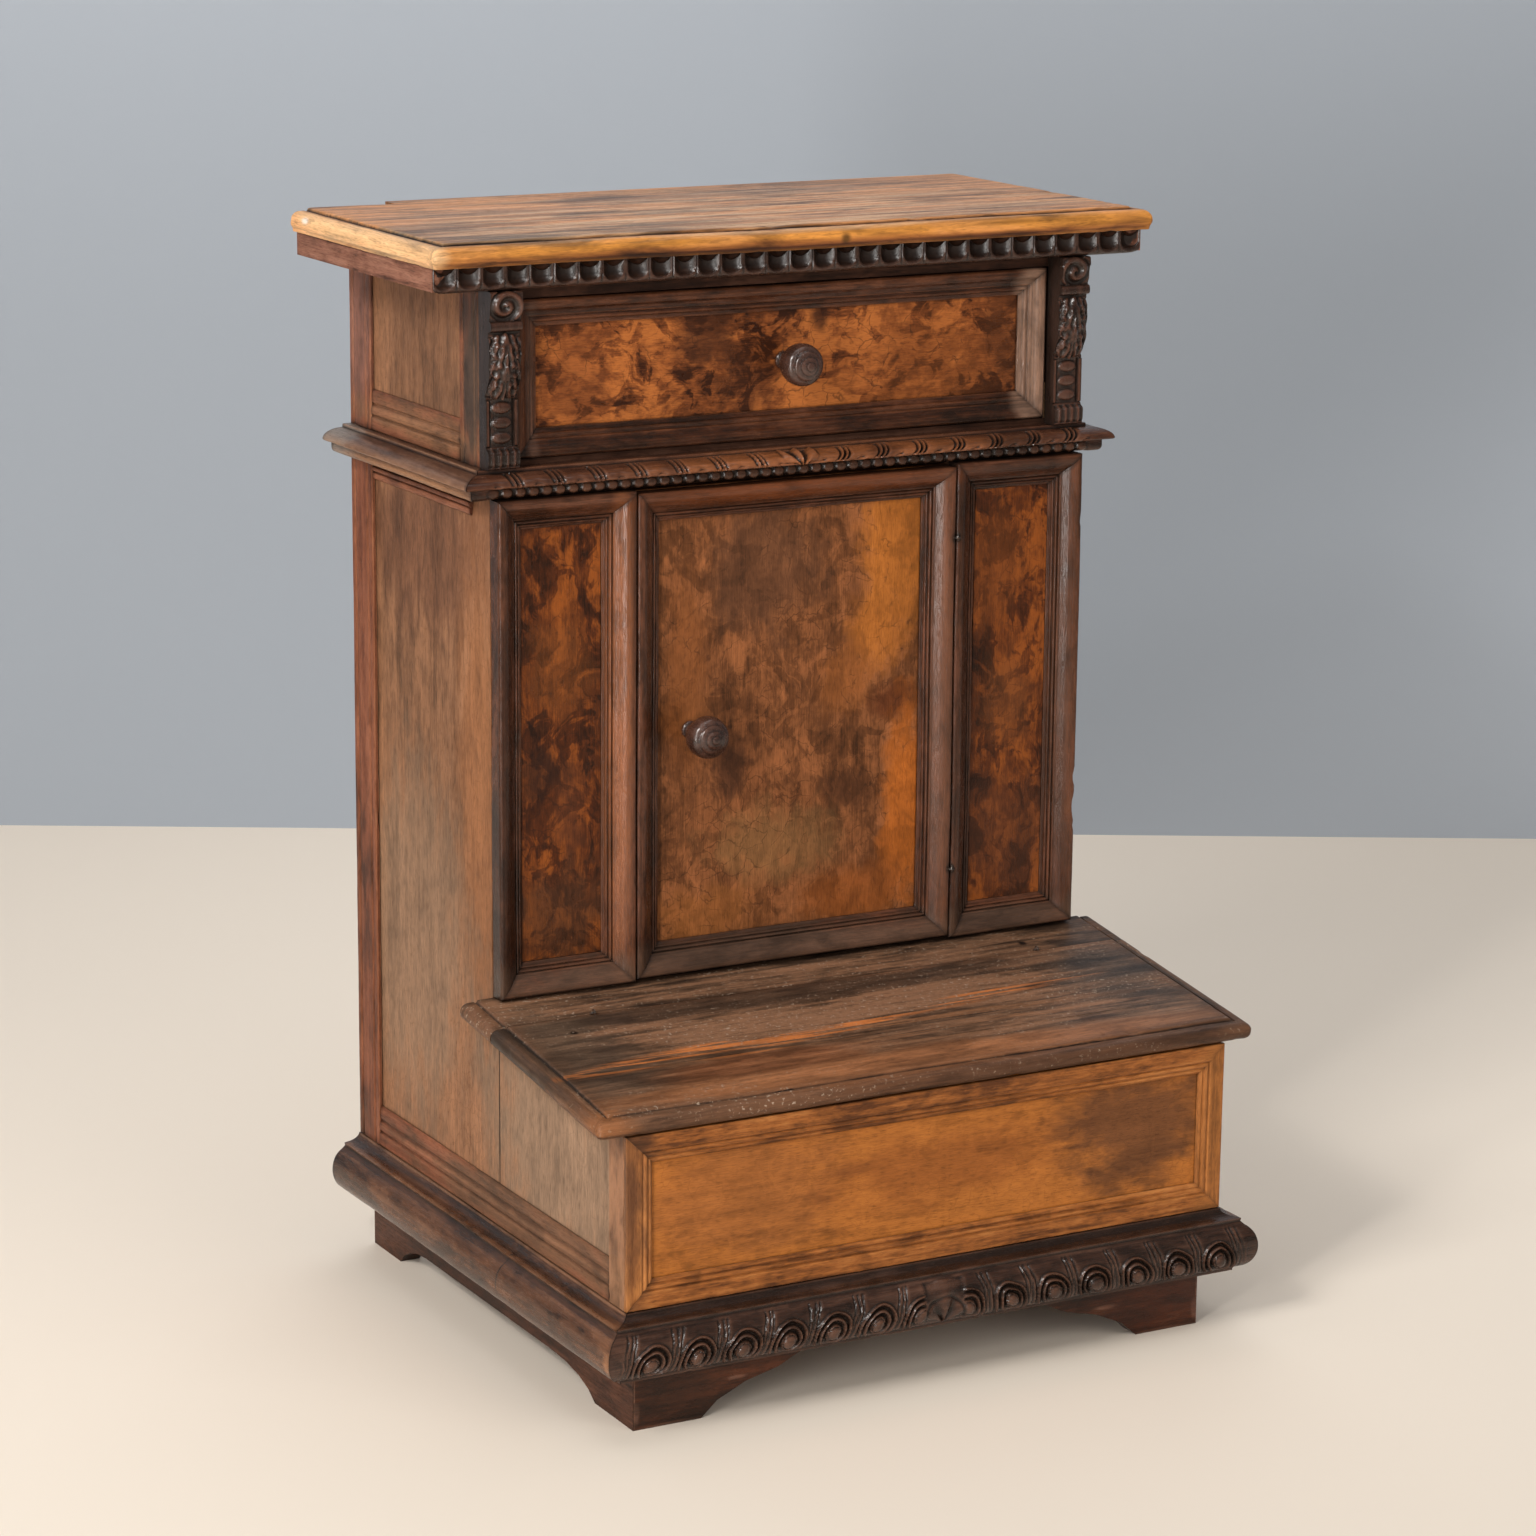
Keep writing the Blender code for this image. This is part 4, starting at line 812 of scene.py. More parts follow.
FRAME_SHARES = ((0, 0), (0, 0.88), (0.025, 0.955), (0.07, 1), (0.17, 1), (0.25, 0.965), (0.33, 0.90),
                (0.43, 0.78), (0.53, 0.63), (0.62, 0.50), (0.675, 0.455), (0.685, 0.36), (0.70, 0.34),
                (0.72, 0.40), (0.755, 0.43), (0.79, 0.39), (0.805, 0.28), (0.82, 0.27), (0.84, 0.31),
                (0.87, 0.33), (0.90, 0.29), (0.915, 0.19), (0.93, 0.17), (1, 0.13), (1, 0))
DRAWER_SHARES = ((0, 0), (0, 0.82), (0.03, 0.93), (0.09, 1), (0.24, 0.98), (0.34, 0.92), (0.44, 0.76),
                 (0.54, 0.66), (0.62, 0.63), (0.66, 0.44), (0.70, 0.46), (0.76, 0.50), (0.81, 0.46),
                 (0.84, 0.30), (0.90, 0.26), (1, 0.20), (1, 0))
KNEELER_SHARES = ((0, 0), (0, 0.9), (0.03, 1), (0.54, 1), (0.58, 0.92), (0.60, 0.70), (0.63, 0.72),
                  (0.67, 0.94), (0.72, 0.98), (0.77, 0.85), (0.80, 0.52), (0.83, 0.52), (0.88, 0.68),
                  (0.93, 0.60), (1, 0.28), (1, 0))
KNOB_SHARES = ((0, 1), (0.10, 1), (0.16, 0.995), (0.20, 0.985), (0.21, 0.965), (0.24, 0.962), (0.36, 0.955),
               (0.42, 0.94), (0.435, 0.92), (0.46, 0.915), (0.60, 0.905), (0.68, 0.885), (0.70, 0.862),
               (0.73, 0.855), (0.86, 0.835), (0.94, 0.795), (0.99, 0.735), (1, 0.66), (0.985, 0.59),
               (0.93, 0.52), (0.82, 0.455), (0.68, 0.41), (0.63, 0.38), (0.64, 0.335), (0.60, 0.315),
               (0.46, 0.28), (0.41, 0.25), (0.44, 0.215), (0.47, 0.195), (0.44, 0.17), (0.36, 0.145),
               (0.33, 0.12), (0.35, 0.09), (0.42, 0.065), (0.43, 0.03), (0.38, 0))


def mitred(shape, name, width, shares, ease=0.0005):
    """Four lengths of one moulding, mitred round the CAD frame's box."""
    low, high = cad(name)
    outline = moulding(shares, width, high[1] - low[1], ease)
    gap = 0.00008
    tall, wide = high[2] - low[2], high[0] - low[0]
    runs = (((low[0], high[1], low[2]), Z, X, tall), ((high[0], high[1], low[2]), Z, -X, tall),
            ((low[0], high[1], low[2]), X, Z, wide), ((low[0], high[1], high[2]), X, -Z, wide))
    for place, along, across, reach in runs:
        shape.length(outline, (gap, reach - gap), place, along, across, -Y, (1, 1), 0, 0.0045)


def knob(name, body, finish):
    """A turned knob with rings round its tip, on a peg."""
    low, high = cad(name)
    peg_radius, peg_length = 0.0045, 0.007
    radius = (high[0] - low[0]) / 2
    long = high[1] - peg_length - low[1]
    profile = [(radius * share, long * out) for share, out in KNOB_SHARES]
    profile += [(peg_radius, 0), (peg_radius, -peg_length)]
    shape = Shape(20)
    shape.turned(profile, ((low[0] + high[0]) / 2, high[1] - peg_length, (low[2] + high[2]) / 2), -Y)
    shape.piece(name + "_turned", [name], body, "dark_walnut", finish, 0.00012, 0.0004, 3)


def build_drawer(sizes, finishes):
    """The drawer: a burr front in a mitred frame, its knob and the door's, and its plain box."""
    low, high = cad("drawer_front")
    stains = front_stains(low[1], (
        (-0.19, 0.80, 0.03, 0.06, (0.19, 0.055, 0.016), 0.5),
        (-0.075, 0.83, 0.03, 0.03, (0.07, 0.022, 0.009), 0.8),
        (-0.03, 0.79, 0.03, 0.03, (0.085, 0.026, 0.010), 0.5),
        (0.035, 0.84, 0.012, 0.016, (0.045, 0.014, 0.006), 0.9),
        (0.13, 0.80, 0.07, 0.05, (0.22, 0.064, 0.015), 0.55),
        (0.215, 0.83, 0.02, 0.05, (0.12, 0.036, 0.012), 0.7)))
    burr = (0.032, 0.009, 0.0035), (0.185, 0.052, 0.014), (0.40, 0.124, 0.029)
    dress(["drawer_front"], walnut("drawer burr", burr, "X", 0.15, 0.75, burr=1.15, stretch=1.2, rough=0.30,
                                   shine=0.2, soot_and_shade=0.6, crackle=0.9, stains=stains))
    # The first row paints a highlight down the right stick; the second is wear on the left stick and the
    # third dirt along the bottom stick
    light = front_stains(low[1], (
        (high[0] - 0.012, 0.80, 0.016, 0.12, (0.32, 0.185, 0.125), 0.95),
        (low[0] + 0.016, 0.80, 0.006, 0.10, (0.15, 0.075, 0.05), 0.6),
        (0, low[2] - 0.012, 0.30, 0.016, (0.016, 0.006, 0.0035), 0.9)))
    dark = (0.016, 0.006, 0.003), (0.050, 0.015, 0.006), (0.12, 0.040, 0.017)
    finish = walnut("drawer moulding", dark, worn=0.7, worn_colour=(0.20, 0.078, 0.036), rough=0.24,
                    shine=0.34, soot_and_shade=0.95, stains=light)
    shape = Shape(10)
    mitred(shape, "drawer_front_frame", 0.023, DRAWER_SHARES)
    shape.piece("drawer_frame_mitred", ["drawer_front_frame"], "drawer", "dark_walnut", finish)
    black = (0.010, 0.005, 0.004), (0.030, 0.012, 0.008), (0.065, 0.028, 0.019)
    turned = walnut("turned knob", black, worn=0.2, worn_colour=(0.12, 0.055, 0.036), rough=0.17, shine=0.75,
                    soot_and_shade=0.9)
    knob("drawer_knob", "drawer", turned)
    knob("door_knob", "door", turned)
    dress(["drawer_side_left", "drawer_side_right"], bare_poplar("drawer side poplar", "Y"))
    dress(["drawer_back", "drawer_bottom"], bare_poplar("drawer box poplar", "X"))


# The sides

STILE_SHARES = ((0, 0), (0, 0.86), (0.03, 1), (0.145, 1), (0.17, 0.8), (0.19, 0.35), (0.21, 0.35),
                (0.23, 0.8), (0.255, 1), (0.745, 1), (0.77, 0.8), (0.79, 0.35), (0.81, 0.35), (0.83, 0.8),
                (0.855, 1), (0.97, 1), (1, 0.86), (1, 0))
RAIL_SHARES = ((0, 0), (0, 0.9), (0.03, 1), (0.28, 1), (0.31, 0.9), (0.34, 0.45), (0.37, 0.45), (0.40, 0.9),
               (0.44, 1), (0.52, 0.97), (0.58, 0.8), (0.62, 0.36), (0.66, 0.36), (0.70, 0.74), (0.80, 0.72),
               (0.90, 0.62), (0.97, 0.45), (1, 0.25), (1, 0))
STRIP_RELIEF = 0.0037


class SideStrips(Shape):
    """The thin strips on one side of the case; their places are measured forwards from the rear."""

    def __init__(self, seed, side):
        super().__init__(seed)
        self.face = np.array((side * SIDE_FACE, REAR, 0))
        self.out = X * side

    def stile(self, start, width, heights):
        """An upright strip with a line along each edge."""
        outline = moulding(STILE_SHARES, width, STRIP_RELIEF, 0.0004, 0.001)
        self.length(outline, heights, self.face - Y * start, Z, -Y, self.out, step=0.006)

    def rail(self, depths, height, width, up, mitres=(0, 0)):
        """A level strip, moulded on the edge that up points to."""
        outline = moulding(RAIL_SHARES, width, STRIP_RELIEF, 0.0004, 0.001)
        self.length(outline, depths, self.face + Z * height, -Y, Z * up, self.out, mitres, step=0.006)

    def corner(self, start, end, low, rear_high, front_high):
        """The upright strip at the kneeler's front corner, cut to the board's slope above."""
        edge = 0.0006
        section = ((start, 0), (start, STRIP_RELIEF * 0.8), (start + edge, STRIP_RELIEF),
                   (end - edge, STRIP_RELIEF), (end, STRIP_RELIEF * 0.8), (end, 0))
        rows = []
        for part in np.linspace(0, 1, 30):
            ring = []
            for deep, lift in section:
                high = rear_high + (front_high - rear_high) * (deep - start) / (end - start)
                ring.append(self.face - Y * deep + self.out * lift + Z * (low + (high - low) * part))
            rows.append(ring)
        points = np.array(rows)
        self.put(points, points[..., (2, 1, 0)], tube(len(rows), len(section)))

    def hang(self, level, label, finish):
        """Make the piece from what has been put together."""
        node = level + "_side_frame_" + label
        self.piece(level + "_side_strips_" + label, [node], "case", "side_walnut", finish, 0.00012, 0.0006)


def build_sides(sizes, finishes):
    """The side boards and the thin frames on them, above and below the waist."""
    stains = side_stains(0.276, (
        (0.13, 0.83, 0.16, 0.09, (0.24, 0.115, 0.06), 0.7),
        (0.10, 0.66, 0.20, 0.08, (0.165, 0.070, 0.037), 0.75),
        (0.02, 0.48, 0.045, 0.24, (0.31, 0.125, 0.050), 0.85),
        (0.16, 0.30, 0.12, 0.16, (0.36, 0.21, 0.125), 0.85),
        (-0.14, 0.20, 0.17, 0.12, (0.33, 0.205, 0.128), 0.95),
        (-0.0158, 0.20, 0.0013, 0.11, (0.03, 0.016, 0.01), 1.0)))
    boards = walnut("olive walnut side", shades(finishes.olive, 0.46, 0.92, 1.38), "Z", 0.6, 0.9, grime=0.25,
                    rough=0.5, soot_and_shade=0.55, stains=stains, shine=0.14, ring=38.0, crackle=0.3)
    dress(["side_board_left", "side_board_right", "kneeler_side_left", "kneeler_side_right"], boards)
    warm = side_stains(0.279, (
        (0.245, 0.83, 0.03, 0.09, (0.31, 0.14, 0.098), 0.8),
        (0.12, 0.752, 0.16, 0.016, (0.27, 0.13, 0.062), 0.8),
        (0.02, 0.81, 0.022, 0.09, (0.062, 0.044, 0.032), 0.9),
        (-0.10, 0.12, 0.30, 0.03, (0.20, 0.10, 0.052), 0.8),
        (-0.24, 0.19, 0.03, 0.09, (0.28, 0.14, 0.07), 0.6)))
    russet = (0.066, 0.020, 0.009), (0.18, 0.055, 0.025), (0.29, 0.105, 0.054)
    strips = walnut("russet walnut strips", russet, streak=0.7, mottle=0.9, worn=0.6,
                    worn_colour=(0.38, 0.19, 0.10), rough=0.40, soot_and_shade=0.9, stains=warm)
    stile_width, stile_edge, waist_foot = 0.043, 0.0432, 0.7122
    for label, side in SIDES:
        low, high = cad("upper_side_frame_" + label)
        shape = SideStrips(30 + side, side)
        shape.stile(0, stile_width, (low[2], high[2]))
        shape.stile(0.221, 0.037, (low[2], high[2]))
        shape.rail((stile_edge, 0.2208), low[2], 0.034, 1)
        shape.hang("upper", label, strips)
        low, high = cad("lower_side_frame_" + label)
        shape = SideStrips(34 + side, side)
        shape.stile(0, stile_width, (low[2], waist_foot))
        shape.rail((stile_edge, 0.240), waist_foot, 0.018, -1, (0, 0.25))
        shape.rail((stile_edge, 0.4888), low[2], 0.035, 1)
        shape.corner(0.4890, 0.5148, low[2], 0.2529, 0.2496)
        shape.hang("lower", label, strips)


# The waist

def waist_carving(leaf, bead, half):
    """The relief of the waist: beads below, and above them leaves that lean out from a middle spray."""
    bead_radius, bead_height, bead_top = 0.0050, 0.0052, 0.0104
    leaf_foot, leaf_top = 0.0118, 0.0205

    def carve(reach, up, out):
        near = step_up(half - np.abs(reach), -0.012, 0.004)
        row = ((np.abs(reach) / bead) % 1 - 0.5) * bead
        beads = 0.0026 * dome(np.hypot(row, up - bead_height) / bead_radius) - 0.0016
        beads = beads * (up < bead_top) * (out > 0.014)
        rise = up - leaf_foot
        lean = np.where(reach > 0, -1.25 + 45 * rise, -0.25)
        part = ((np.abs(reach) + lean * rise) / leaf % 1 - 0.5) * leaf
        side = leaf / 2 - np.abs(part)
        folds = 0.0014 * hump(side - 0.0022, 0.0010) - 0.0026 * hump(side, 0.0011)
        folds = folds - 0.0020 * hump(side - 0.0044, 0.0011) + 0.0007 * np.cos(part / leaf * math.pi)
        scallop = -0.0034 * hump(np.hypot(part, rise * 1.1), 0.0030)
        spray = np.arctan2(reach, np.maximum(up - 0.0100, 1e-4) * 1.3)
        petals = 0.0020 * np.cos(spray * 7) + 0.0006
        away = step_up(np.abs(reach), 0.014, 0.018)
        leaves = folds * away + petals * (1 - away) - 0.0006 + scallop
        leaves = leaves * (up > 0.0112) * (up < leaf_top) * step_up(up, 0.0108, 0.0116)
        return (beads + leaves) * near

    return carve


def build_waist(sizes, finishes):
    """The waist moulding: leaves and beads in front, plain at the sides."""
    low, high = cad("waist_moulding_front")
    reach_out = 0.0295
    outline = [(0, 0), (0, 0.015)] + bow((0.0045, 0.017), (0.0045, 0.0045), -90, 0, 5)
    outline += [(0.0095, 0.0215), (0.0102, 0.0205), (0.0108, 0.0285), (0.0118, reach_out)]
    outline += bow((0.0118, 0.0118), (0.0087, 0.0177), 8, 86, 14)
    outline += [(0.0207, 0.0112), (0.0233, 0.0110), (0.0235, 0.0104), (0.0235, 0)]
    carve = waist_carving(sizes.leaf_pitch, sizes.bead_pitch, high[0] - reach_out)
    glow = front_stains(low[1], (
        (0.02, 0.7285, 0.20, 0.0085, (0.33, 0.112, 0.040), 0.85),
        (-0.22, 0.7285, 0.08, 0.008, (0.075, 0.028, 0.016), 0.7),
        (-0.12, 0.7285, 0.012, 0.008, (0.05, 0.018, 0.010), 0.7),
        (0.08, 0.7285, 0.016, 0.008, (0.06, 0.020, 0.010), 0.7),
        (0.21, 0.7285, 0.03, 0.008, (0.07, 0.026, 0.014), 0.7),
        (0, low[2] + 0.003, 0.45, 0.0066, (0.026, 0.012, 0.008), 0.95)))
    dark = (0.026, 0.009, 0.006), (0.066, 0.023, 0.012), (0.14, 0.056, 0.029)
    front = walnut("waist carving", dark, worn=0.35, worn_colour=(0.20, 0.080, 0.040), rough=0.20, shine=0.42,
                   soot_and_shade=1.1, stains=glow)
    shape = Shape(40)
    half = cad("side_board_right")[1][0]
    shape.length(fine(outline, 0.0008), (-half, half), (0, high[1], low[2]), X, Z, -Y, (-1, -1), 1, CLOSE,
                 carve)
    shape.piece("waist_carving_front", ["waist_moulding_front"], "case", "frame_walnut", front, 0.0001,
                0.0005)
    stains = side_stains(0.30, ((0.25, 0.725, 0.045, 0.05, (0.23, 0.19, 0.16), 0.9),))
    stains += side_stains(0.305, ((0.10, 0.716, 0.16, 0.008, (0.34, 0.16, 0.07), 0.8),))
    brown = (0.036, 0.015, 0.008), (0.084, 0.035, 0.020), (0.155, 0.078, 0.048)
    plain = walnut("waist moulding", brown, worn=0.6, worn_colour=(0.33, 0.17, 0.09), rough=0.34, shine=0.25,
                   stains=stains, soot_and_shade=0.9)
    for label, side in SIDES:
        node = "waist_moulding_" + label
        low, high = cad(node)
        face = min(abs(low[0]), abs(high[0]))
        shape = Shape(42 + side)
        shape.length(fine(outline, 0.0012), (0, 0.258), (side * face, REAR, low[2]), -Y, Z, X * side, (0, -1),
                     1, 0.005)
        shape.piece(node + "_run", [node], "case", "frame_walnut", plain)


# The cupboard's front

def moulding_finish(name, finishes):
    """The dark, polished walnut of the mouldings round the door and its pilasters, with painted highlight
    lines down three upright sticks.
    """
    face = cad("door_frame")[0][1]
    # The first three rows paint highlight lines down three upright sticks
    stains = front_stains(face, (
        (-0.166, 0.51, 0.011, 0.26, (0.29, 0.098, 0.038), 0.9),
        (0.141, 0.51, 0.010, 0.24, (0.16, 0.064, 0.034), 0.85),
        (0.262, 0.51, 0.013, 0.22, (0.105, 0.040, 0.020), 0.75),
        (0.0, 0.703, 0.17, 0.010, (0.18, 0.050, 0.016), 0.8),
        (-0.268, 0.51, 0.010, 0.22, (0.026, 0.009, 0.005), 0.85),
        (0.0, 0.305, 0.40, 0.022, (0.115, 0.063, 0.040), 0.85)))
    # Painted shade: a near-black spot round each hinge loop, as the shade of the hole it goes through
    for loop in ("post_loop_high", "post_loop_low"):
        height = cad(loop)[0][2] + 0.003
        stains += front_stains(face, ((0.151, height, 0.0055, 0.0055, (0.012, 0.008, 0.006), 1.0),))
    return walnut(name, shades(finishes.russet, 0.36, 0.9, 2.4), streak=0.8, worn_colour=(0.16, 0.062, 0.030),
                  rough=0.22, shine=0.32, soot_and_shade=1.0, stains=stains)


def build_pilasters(sizes, finishes):
    """The burr panels beside the door and the frames round them."""
    stains = front_stains(cad("pilaster_panel_left")[0][1], (
        (-0.215, 0.57, 0.03, 0.05, (0.19, 0.056, 0.013), 0.6),
        (-0.21, 0.45, 0.02, 0.05, (0.11, 0.034, 0.013), 0.5),
        (-0.23, 0.48, 0.03, 0.03, (0.03, 0.011, 0.006), 0.7),
        (-0.215, 0.36, 0.05, 0.05, (0.075, 0.028, 0.012), 0.7),
        (0.20, 0.62, 0.03, 0.06, (0.19, 0.052, 0.011), 0.6),
        (0.215, 0.50, 0.03, 0.05, (0.16, 0.05, 0.014), 0.6),
        (0.215, 0.38, 0.05, 0.06, (0.115, 0.034, 0.012), 0.6)))
    burr = (0.016, 0.005, 0.002), (0.078, 0.019, 0.0048), (0.245, 0.064, 0.0105)
    dress(["pilaster_panel_left", "pilaster_panel_right"],
          walnut("pilaster burr", burr, "Z", 0.25, 0.55, burr=0.95, stretch=1.6, rough=0.28, shine=0.22,
                 soot_and_shade=0.6, crackle=0.7, stains=stains))
    finish = moulding_finish("pilaster moulding", finishes)
    for label, side in SIDES:
        node = "pilaster_frame_" + label
        shape = Shape(50 + side)
        mitred(shape, node, 0.026, FRAME_SHARES)
        low, high = cad(node)
        bites = [((high[0], low[1] + 0.004, height), radius, depth) for height, radius, depth in (
            (0.402, 0.011, 0.004), (0.428, 0.008, 0.0025), (0.385, 0.006, 0.002), (0.655, 0.006, 0.0015))]
        shape.piece(node + "_mitred", [node], "case", "frame_walnut", finish, bites=bites if side > 0 else ())


def build_door(sizes, finishes):
    """The door: its panel and the mitred frame on it."""
    bright, warm = shades(finishes.orange, 1.3, 1.2)
    stains = front_stains(cad("door_panel")[0][1], (
        (-0.02, 0.64, 0.06, 0.07, (0.135, 0.055, 0.026), 0.7),
        (0.10, 0.655, 0.038, 0.08, bright, 0.95),
        (0.085, 0.58, 0.034, 0.05, warm, 0.9),
        (0.055, 0.535, 0.030, 0.035, (0.28, 0.09, 0.022), 0.75),
        (0.062, 0.605, 0.012, 0.025, (0.10, 0.036, 0.015), 0.6),
        (0.100, 0.510, 0.026, 0.020, (0.115, 0.030, 0.009), 0.8),
        (0.060, 0.440, 0.030, 0.022, (0.085, 0.030, 0.012), 0.75),
        (0.112, 0.42, 0.024, 0.10, (0.46, 0.125, 0.018), 0.95),
        (-0.098, 0.55, 0.022, 0.09, (0.26, 0.085, 0.024), 0.75),
        (-0.055, 0.465, 0.020, 0.030, (0.080, 0.030, 0.014), 0.75),
        (-0.02, 0.40, 0.07, 0.04, (0.25, 0.115, 0.042), 0.8),
        (-0.08, 0.345, 0.06, 0.03, (0.29, 0.10, 0.026), 0.75),
        (0.07, 0.345, 0.06, 0.025, (0.30, 0.085, 0.018), 0.8)), 0.006)
    dress(["door_panel"], walnut("door panel", shades(finishes.brown, 0.3, 1, 2.2), "Z", 0.3, 0.5, burr=0.6,
                                 stretch=1.2, grime=0.35, rough=0.34, soot_and_shade=0.5, stains=stains, ring=30.0,
                                 crackle=0.9))
    shape = Shape(60)
    mitred(shape, "door_frame", 0.026, FRAME_SHARES)
    shape.piece("door_frame_mitred", ["door_frame"], "door", "frame_walnut",
                moulding_finish("door moulding", finishes))


# The kneeler

def build_kneeling_board(sizes, finishes):
    """The lifting lid and the fixed strip behind it, worn by knees."""
    top = 0.285
    knot, knot_size = (0.012, 0.008, 0.006), (0.004, 0.004, 0.05)
    stains = [((0.0, -0.080, top), (0.36, 0.022, 0.05), (0.055, 0.033, 0.022), 0.75),
              ((-0.02, -0.232, top - 0.02), (0.30, 0.024, 0.05), (0.44, 0.175, 0.072), 0.9),
              ((-0.12, -0.195, top - 0.01), (0.10, 0.018, 0.05), (0.27, 0.095, 0.038), 0.75),
              ((-0.27, -0.12, top), (0.06, 0.10, 0.05), (0.115, 0.074, 0.048), 0.75),
              ((0.25, -0.13, top), (0.07, 0.07, 0.05), (0.074, 0.048, 0.032), 0.75),
              ((0.06, -0.262, top - 0.025), (0.32, 0.010, 0.014), (0.062, 0.031, 0.020), 0.6),
              ((-0.295, -0.25, top - 0.03), (0.025, 0.02, 0.03), (0.45, 0.17, 0.06), 0.9),
              ((-0.245, -0.092, top), knot_size, knot, 1.0), ((0.21, -0.045, top), knot_size, knot, 1.0)]
    splits = [((0.02, -0.175, top - 0.005), (0.26, 0.030, 0.05), (0.34, 0.145, 0.062), 0.6),
              ((-0.05, -0.235, top - 0.015), (0.30, 0.030, 0.05), (0.36, 0.145, 0.060), 0.6)]
    for start, end in (((-0.13, -0.169), (0.19, -0.121)), ((-0.25, -0.168), (-0.08, -0.143))):
        for part in np.linspace(0, 1, 6):
            across = start[0] + (end[0] - start[0]) * part
            along = start[1] + (end[1] - start[1]) * part
            splits.append(((across, along, top - 0.005), (0.060, 0.0085, 0.05), (0.60, 0.190, 0.052), 1.0))
    palette = (0.030, 0.017, 0.011), (0.115, 0.061, 0.034), (0.25, 0.125, 0.068)
    finish = walnut("kneeling board", palette, streak=1.1, stretch=4.0, grime=0.5, worn=0.6,
                    worn_colour=(0.105, 0.045, 0.022), rough=0.40, shine=0.2, soot_and_shade=0.9, stains=stains,
                    splits=splits, ring=70.0, dust=0.9, upper=True)
    thickness, gap = 0.016, 0.00025
    hinge_deep, front_deep, rear_deep, hinge_height = 0.328, 0.5249, 0.2683, 0.2902
    layers = nose_layers(thickness, math.radians(-90))
    half = cad("kneeler_lid")[1][0]
    hinge = Vector((0, REAR - hinge_deep, hinge_height))
    deep = (front_deep - hinge_deep) / math.cos(SLOPE)
    shape = Shape(70)
    shape.board(layers, round_path(half, -deep, -gap, -gap, 0.005), (),
                Matrix.Translation(hinge) @ Matrix.Rotation(SLOPE, 4, "X"))
    shape.piece("kneeling_lid", ["kneeler_lid"], "lid", "dark_walnut", finish, nicks=0.0012, rounds=8)
    half = cad("kneeler_rear_strip")[1][0]
    outline = [(half - inset, drop) for inset, drop in layers]
    outline += [(inset - half, drop) for inset, drop in layers[::-1]]
    forward = np.array((0, -math.cos(SLOPE), -math.sin(SLOPE)))
    up = np.array((0, -math.sin(SLOPE), math.cos(SLOPE)))
    length = (hinge_deep - rear_deep - thickness * math.sin(SLOPE)) / math.cos(SLOPE)
    shape = Shape(71)
    shape.length(fine(outline, 0.012, -1), (-length, -gap), tuple(hinge), forward, X, up, step=0.005,
                 cross=True)
    shape.piece("kneeling_strip", ["kneeler_rear_strip"], "case", "dark_walnut", finish, 0.0001, 0.0008)


def build_kneeler_front(sizes, finishes):
    """The kneeler's front board and the flat moulded frame on it."""
    stains = front_stains(cad("kneeler_front")[0][1], (
        (-0.18, 0.19, 0.10, 0.05, (0.36, 0.125, 0.034), 0.7),
        (0.02, 0.18, 0.12, 0.035, (0.25, 0.075, 0.018), 0.6),
        (0.20, 0.19, 0.09, 0.07, (0.125, 0.05, 0.022), 0.85)))
    dress(["kneeler_front"], walnut("kneeler front", shades(finishes.amber, 0.45, 1, 1.3), "X", 0.4, 0.45,
                                    burr=0.35, stretch=2.0, grime=0.12, rough=0.36, soot_and_shade=0.5, stains=stains,
                                    ring=40.0, crackle=0.3))
    low, high = cad("kneeler_front_frame")
    stains = front_stains(low[1], ((high[0], 0.19, 0.03, 0.12, (0.42, 0.155, 0.040), 0.85),
                                   (low[0], 0.19, 0.03, 0.12, (0.125, 0.050, 0.022), 0.95)))
    amber = (0.11, 0.037, 0.012), (0.30, 0.100, 0.024), (0.44, 0.17, 0.048)
    finish = walnut("kneeler moulding", amber, worn=0.4, worn_colour=(0.40, 0.19, 0.075), rough=0.34,
                    shine=0.18, soot_and_shade=0.5, stains=stains)
    shape = Shape(80)
    mitred(shape, "kneeler_front_frame", 0.024, KNEELER_SHARES, 0.0004)
    shape.piece("kneeler_frame_mitred", ["kneeler_front_frame"], "case", "amber_walnut", finish, 0.00012,
                0.0006)


# The base

BASE_UNDERSIDE = 0.0503
TORUS_MIDDLE, TORUS_HALF = 0.0735, 0.0193


def base_profile(share):
    """The base moulding's outline, with this share of its full reach outwards."""
    points = [(BASE_UNDERSIDE, -0.032), (BASE_UNDERSIDE, 0.0), (BASE_UNDERSIDE, 0.010), (0.0535, 0.010),
              (0.0542, 0.0115)]
    points += bow((TORUS_MIDDLE, 0.012), (TORUS_HALF, 0.0145), -84, 68, 26)
    points += [(0.0945, 0.0142), (0.0968, 0.0148)]
    points += bow((0.105, 0.015), (0.0078, 0.0145), -90, -176, 8)[1:]
    points += [(0.105, -0.002), (0.105, -0.032)]
    return [(up - BASE_UNDERSIDE, out * share) for up, out in points]


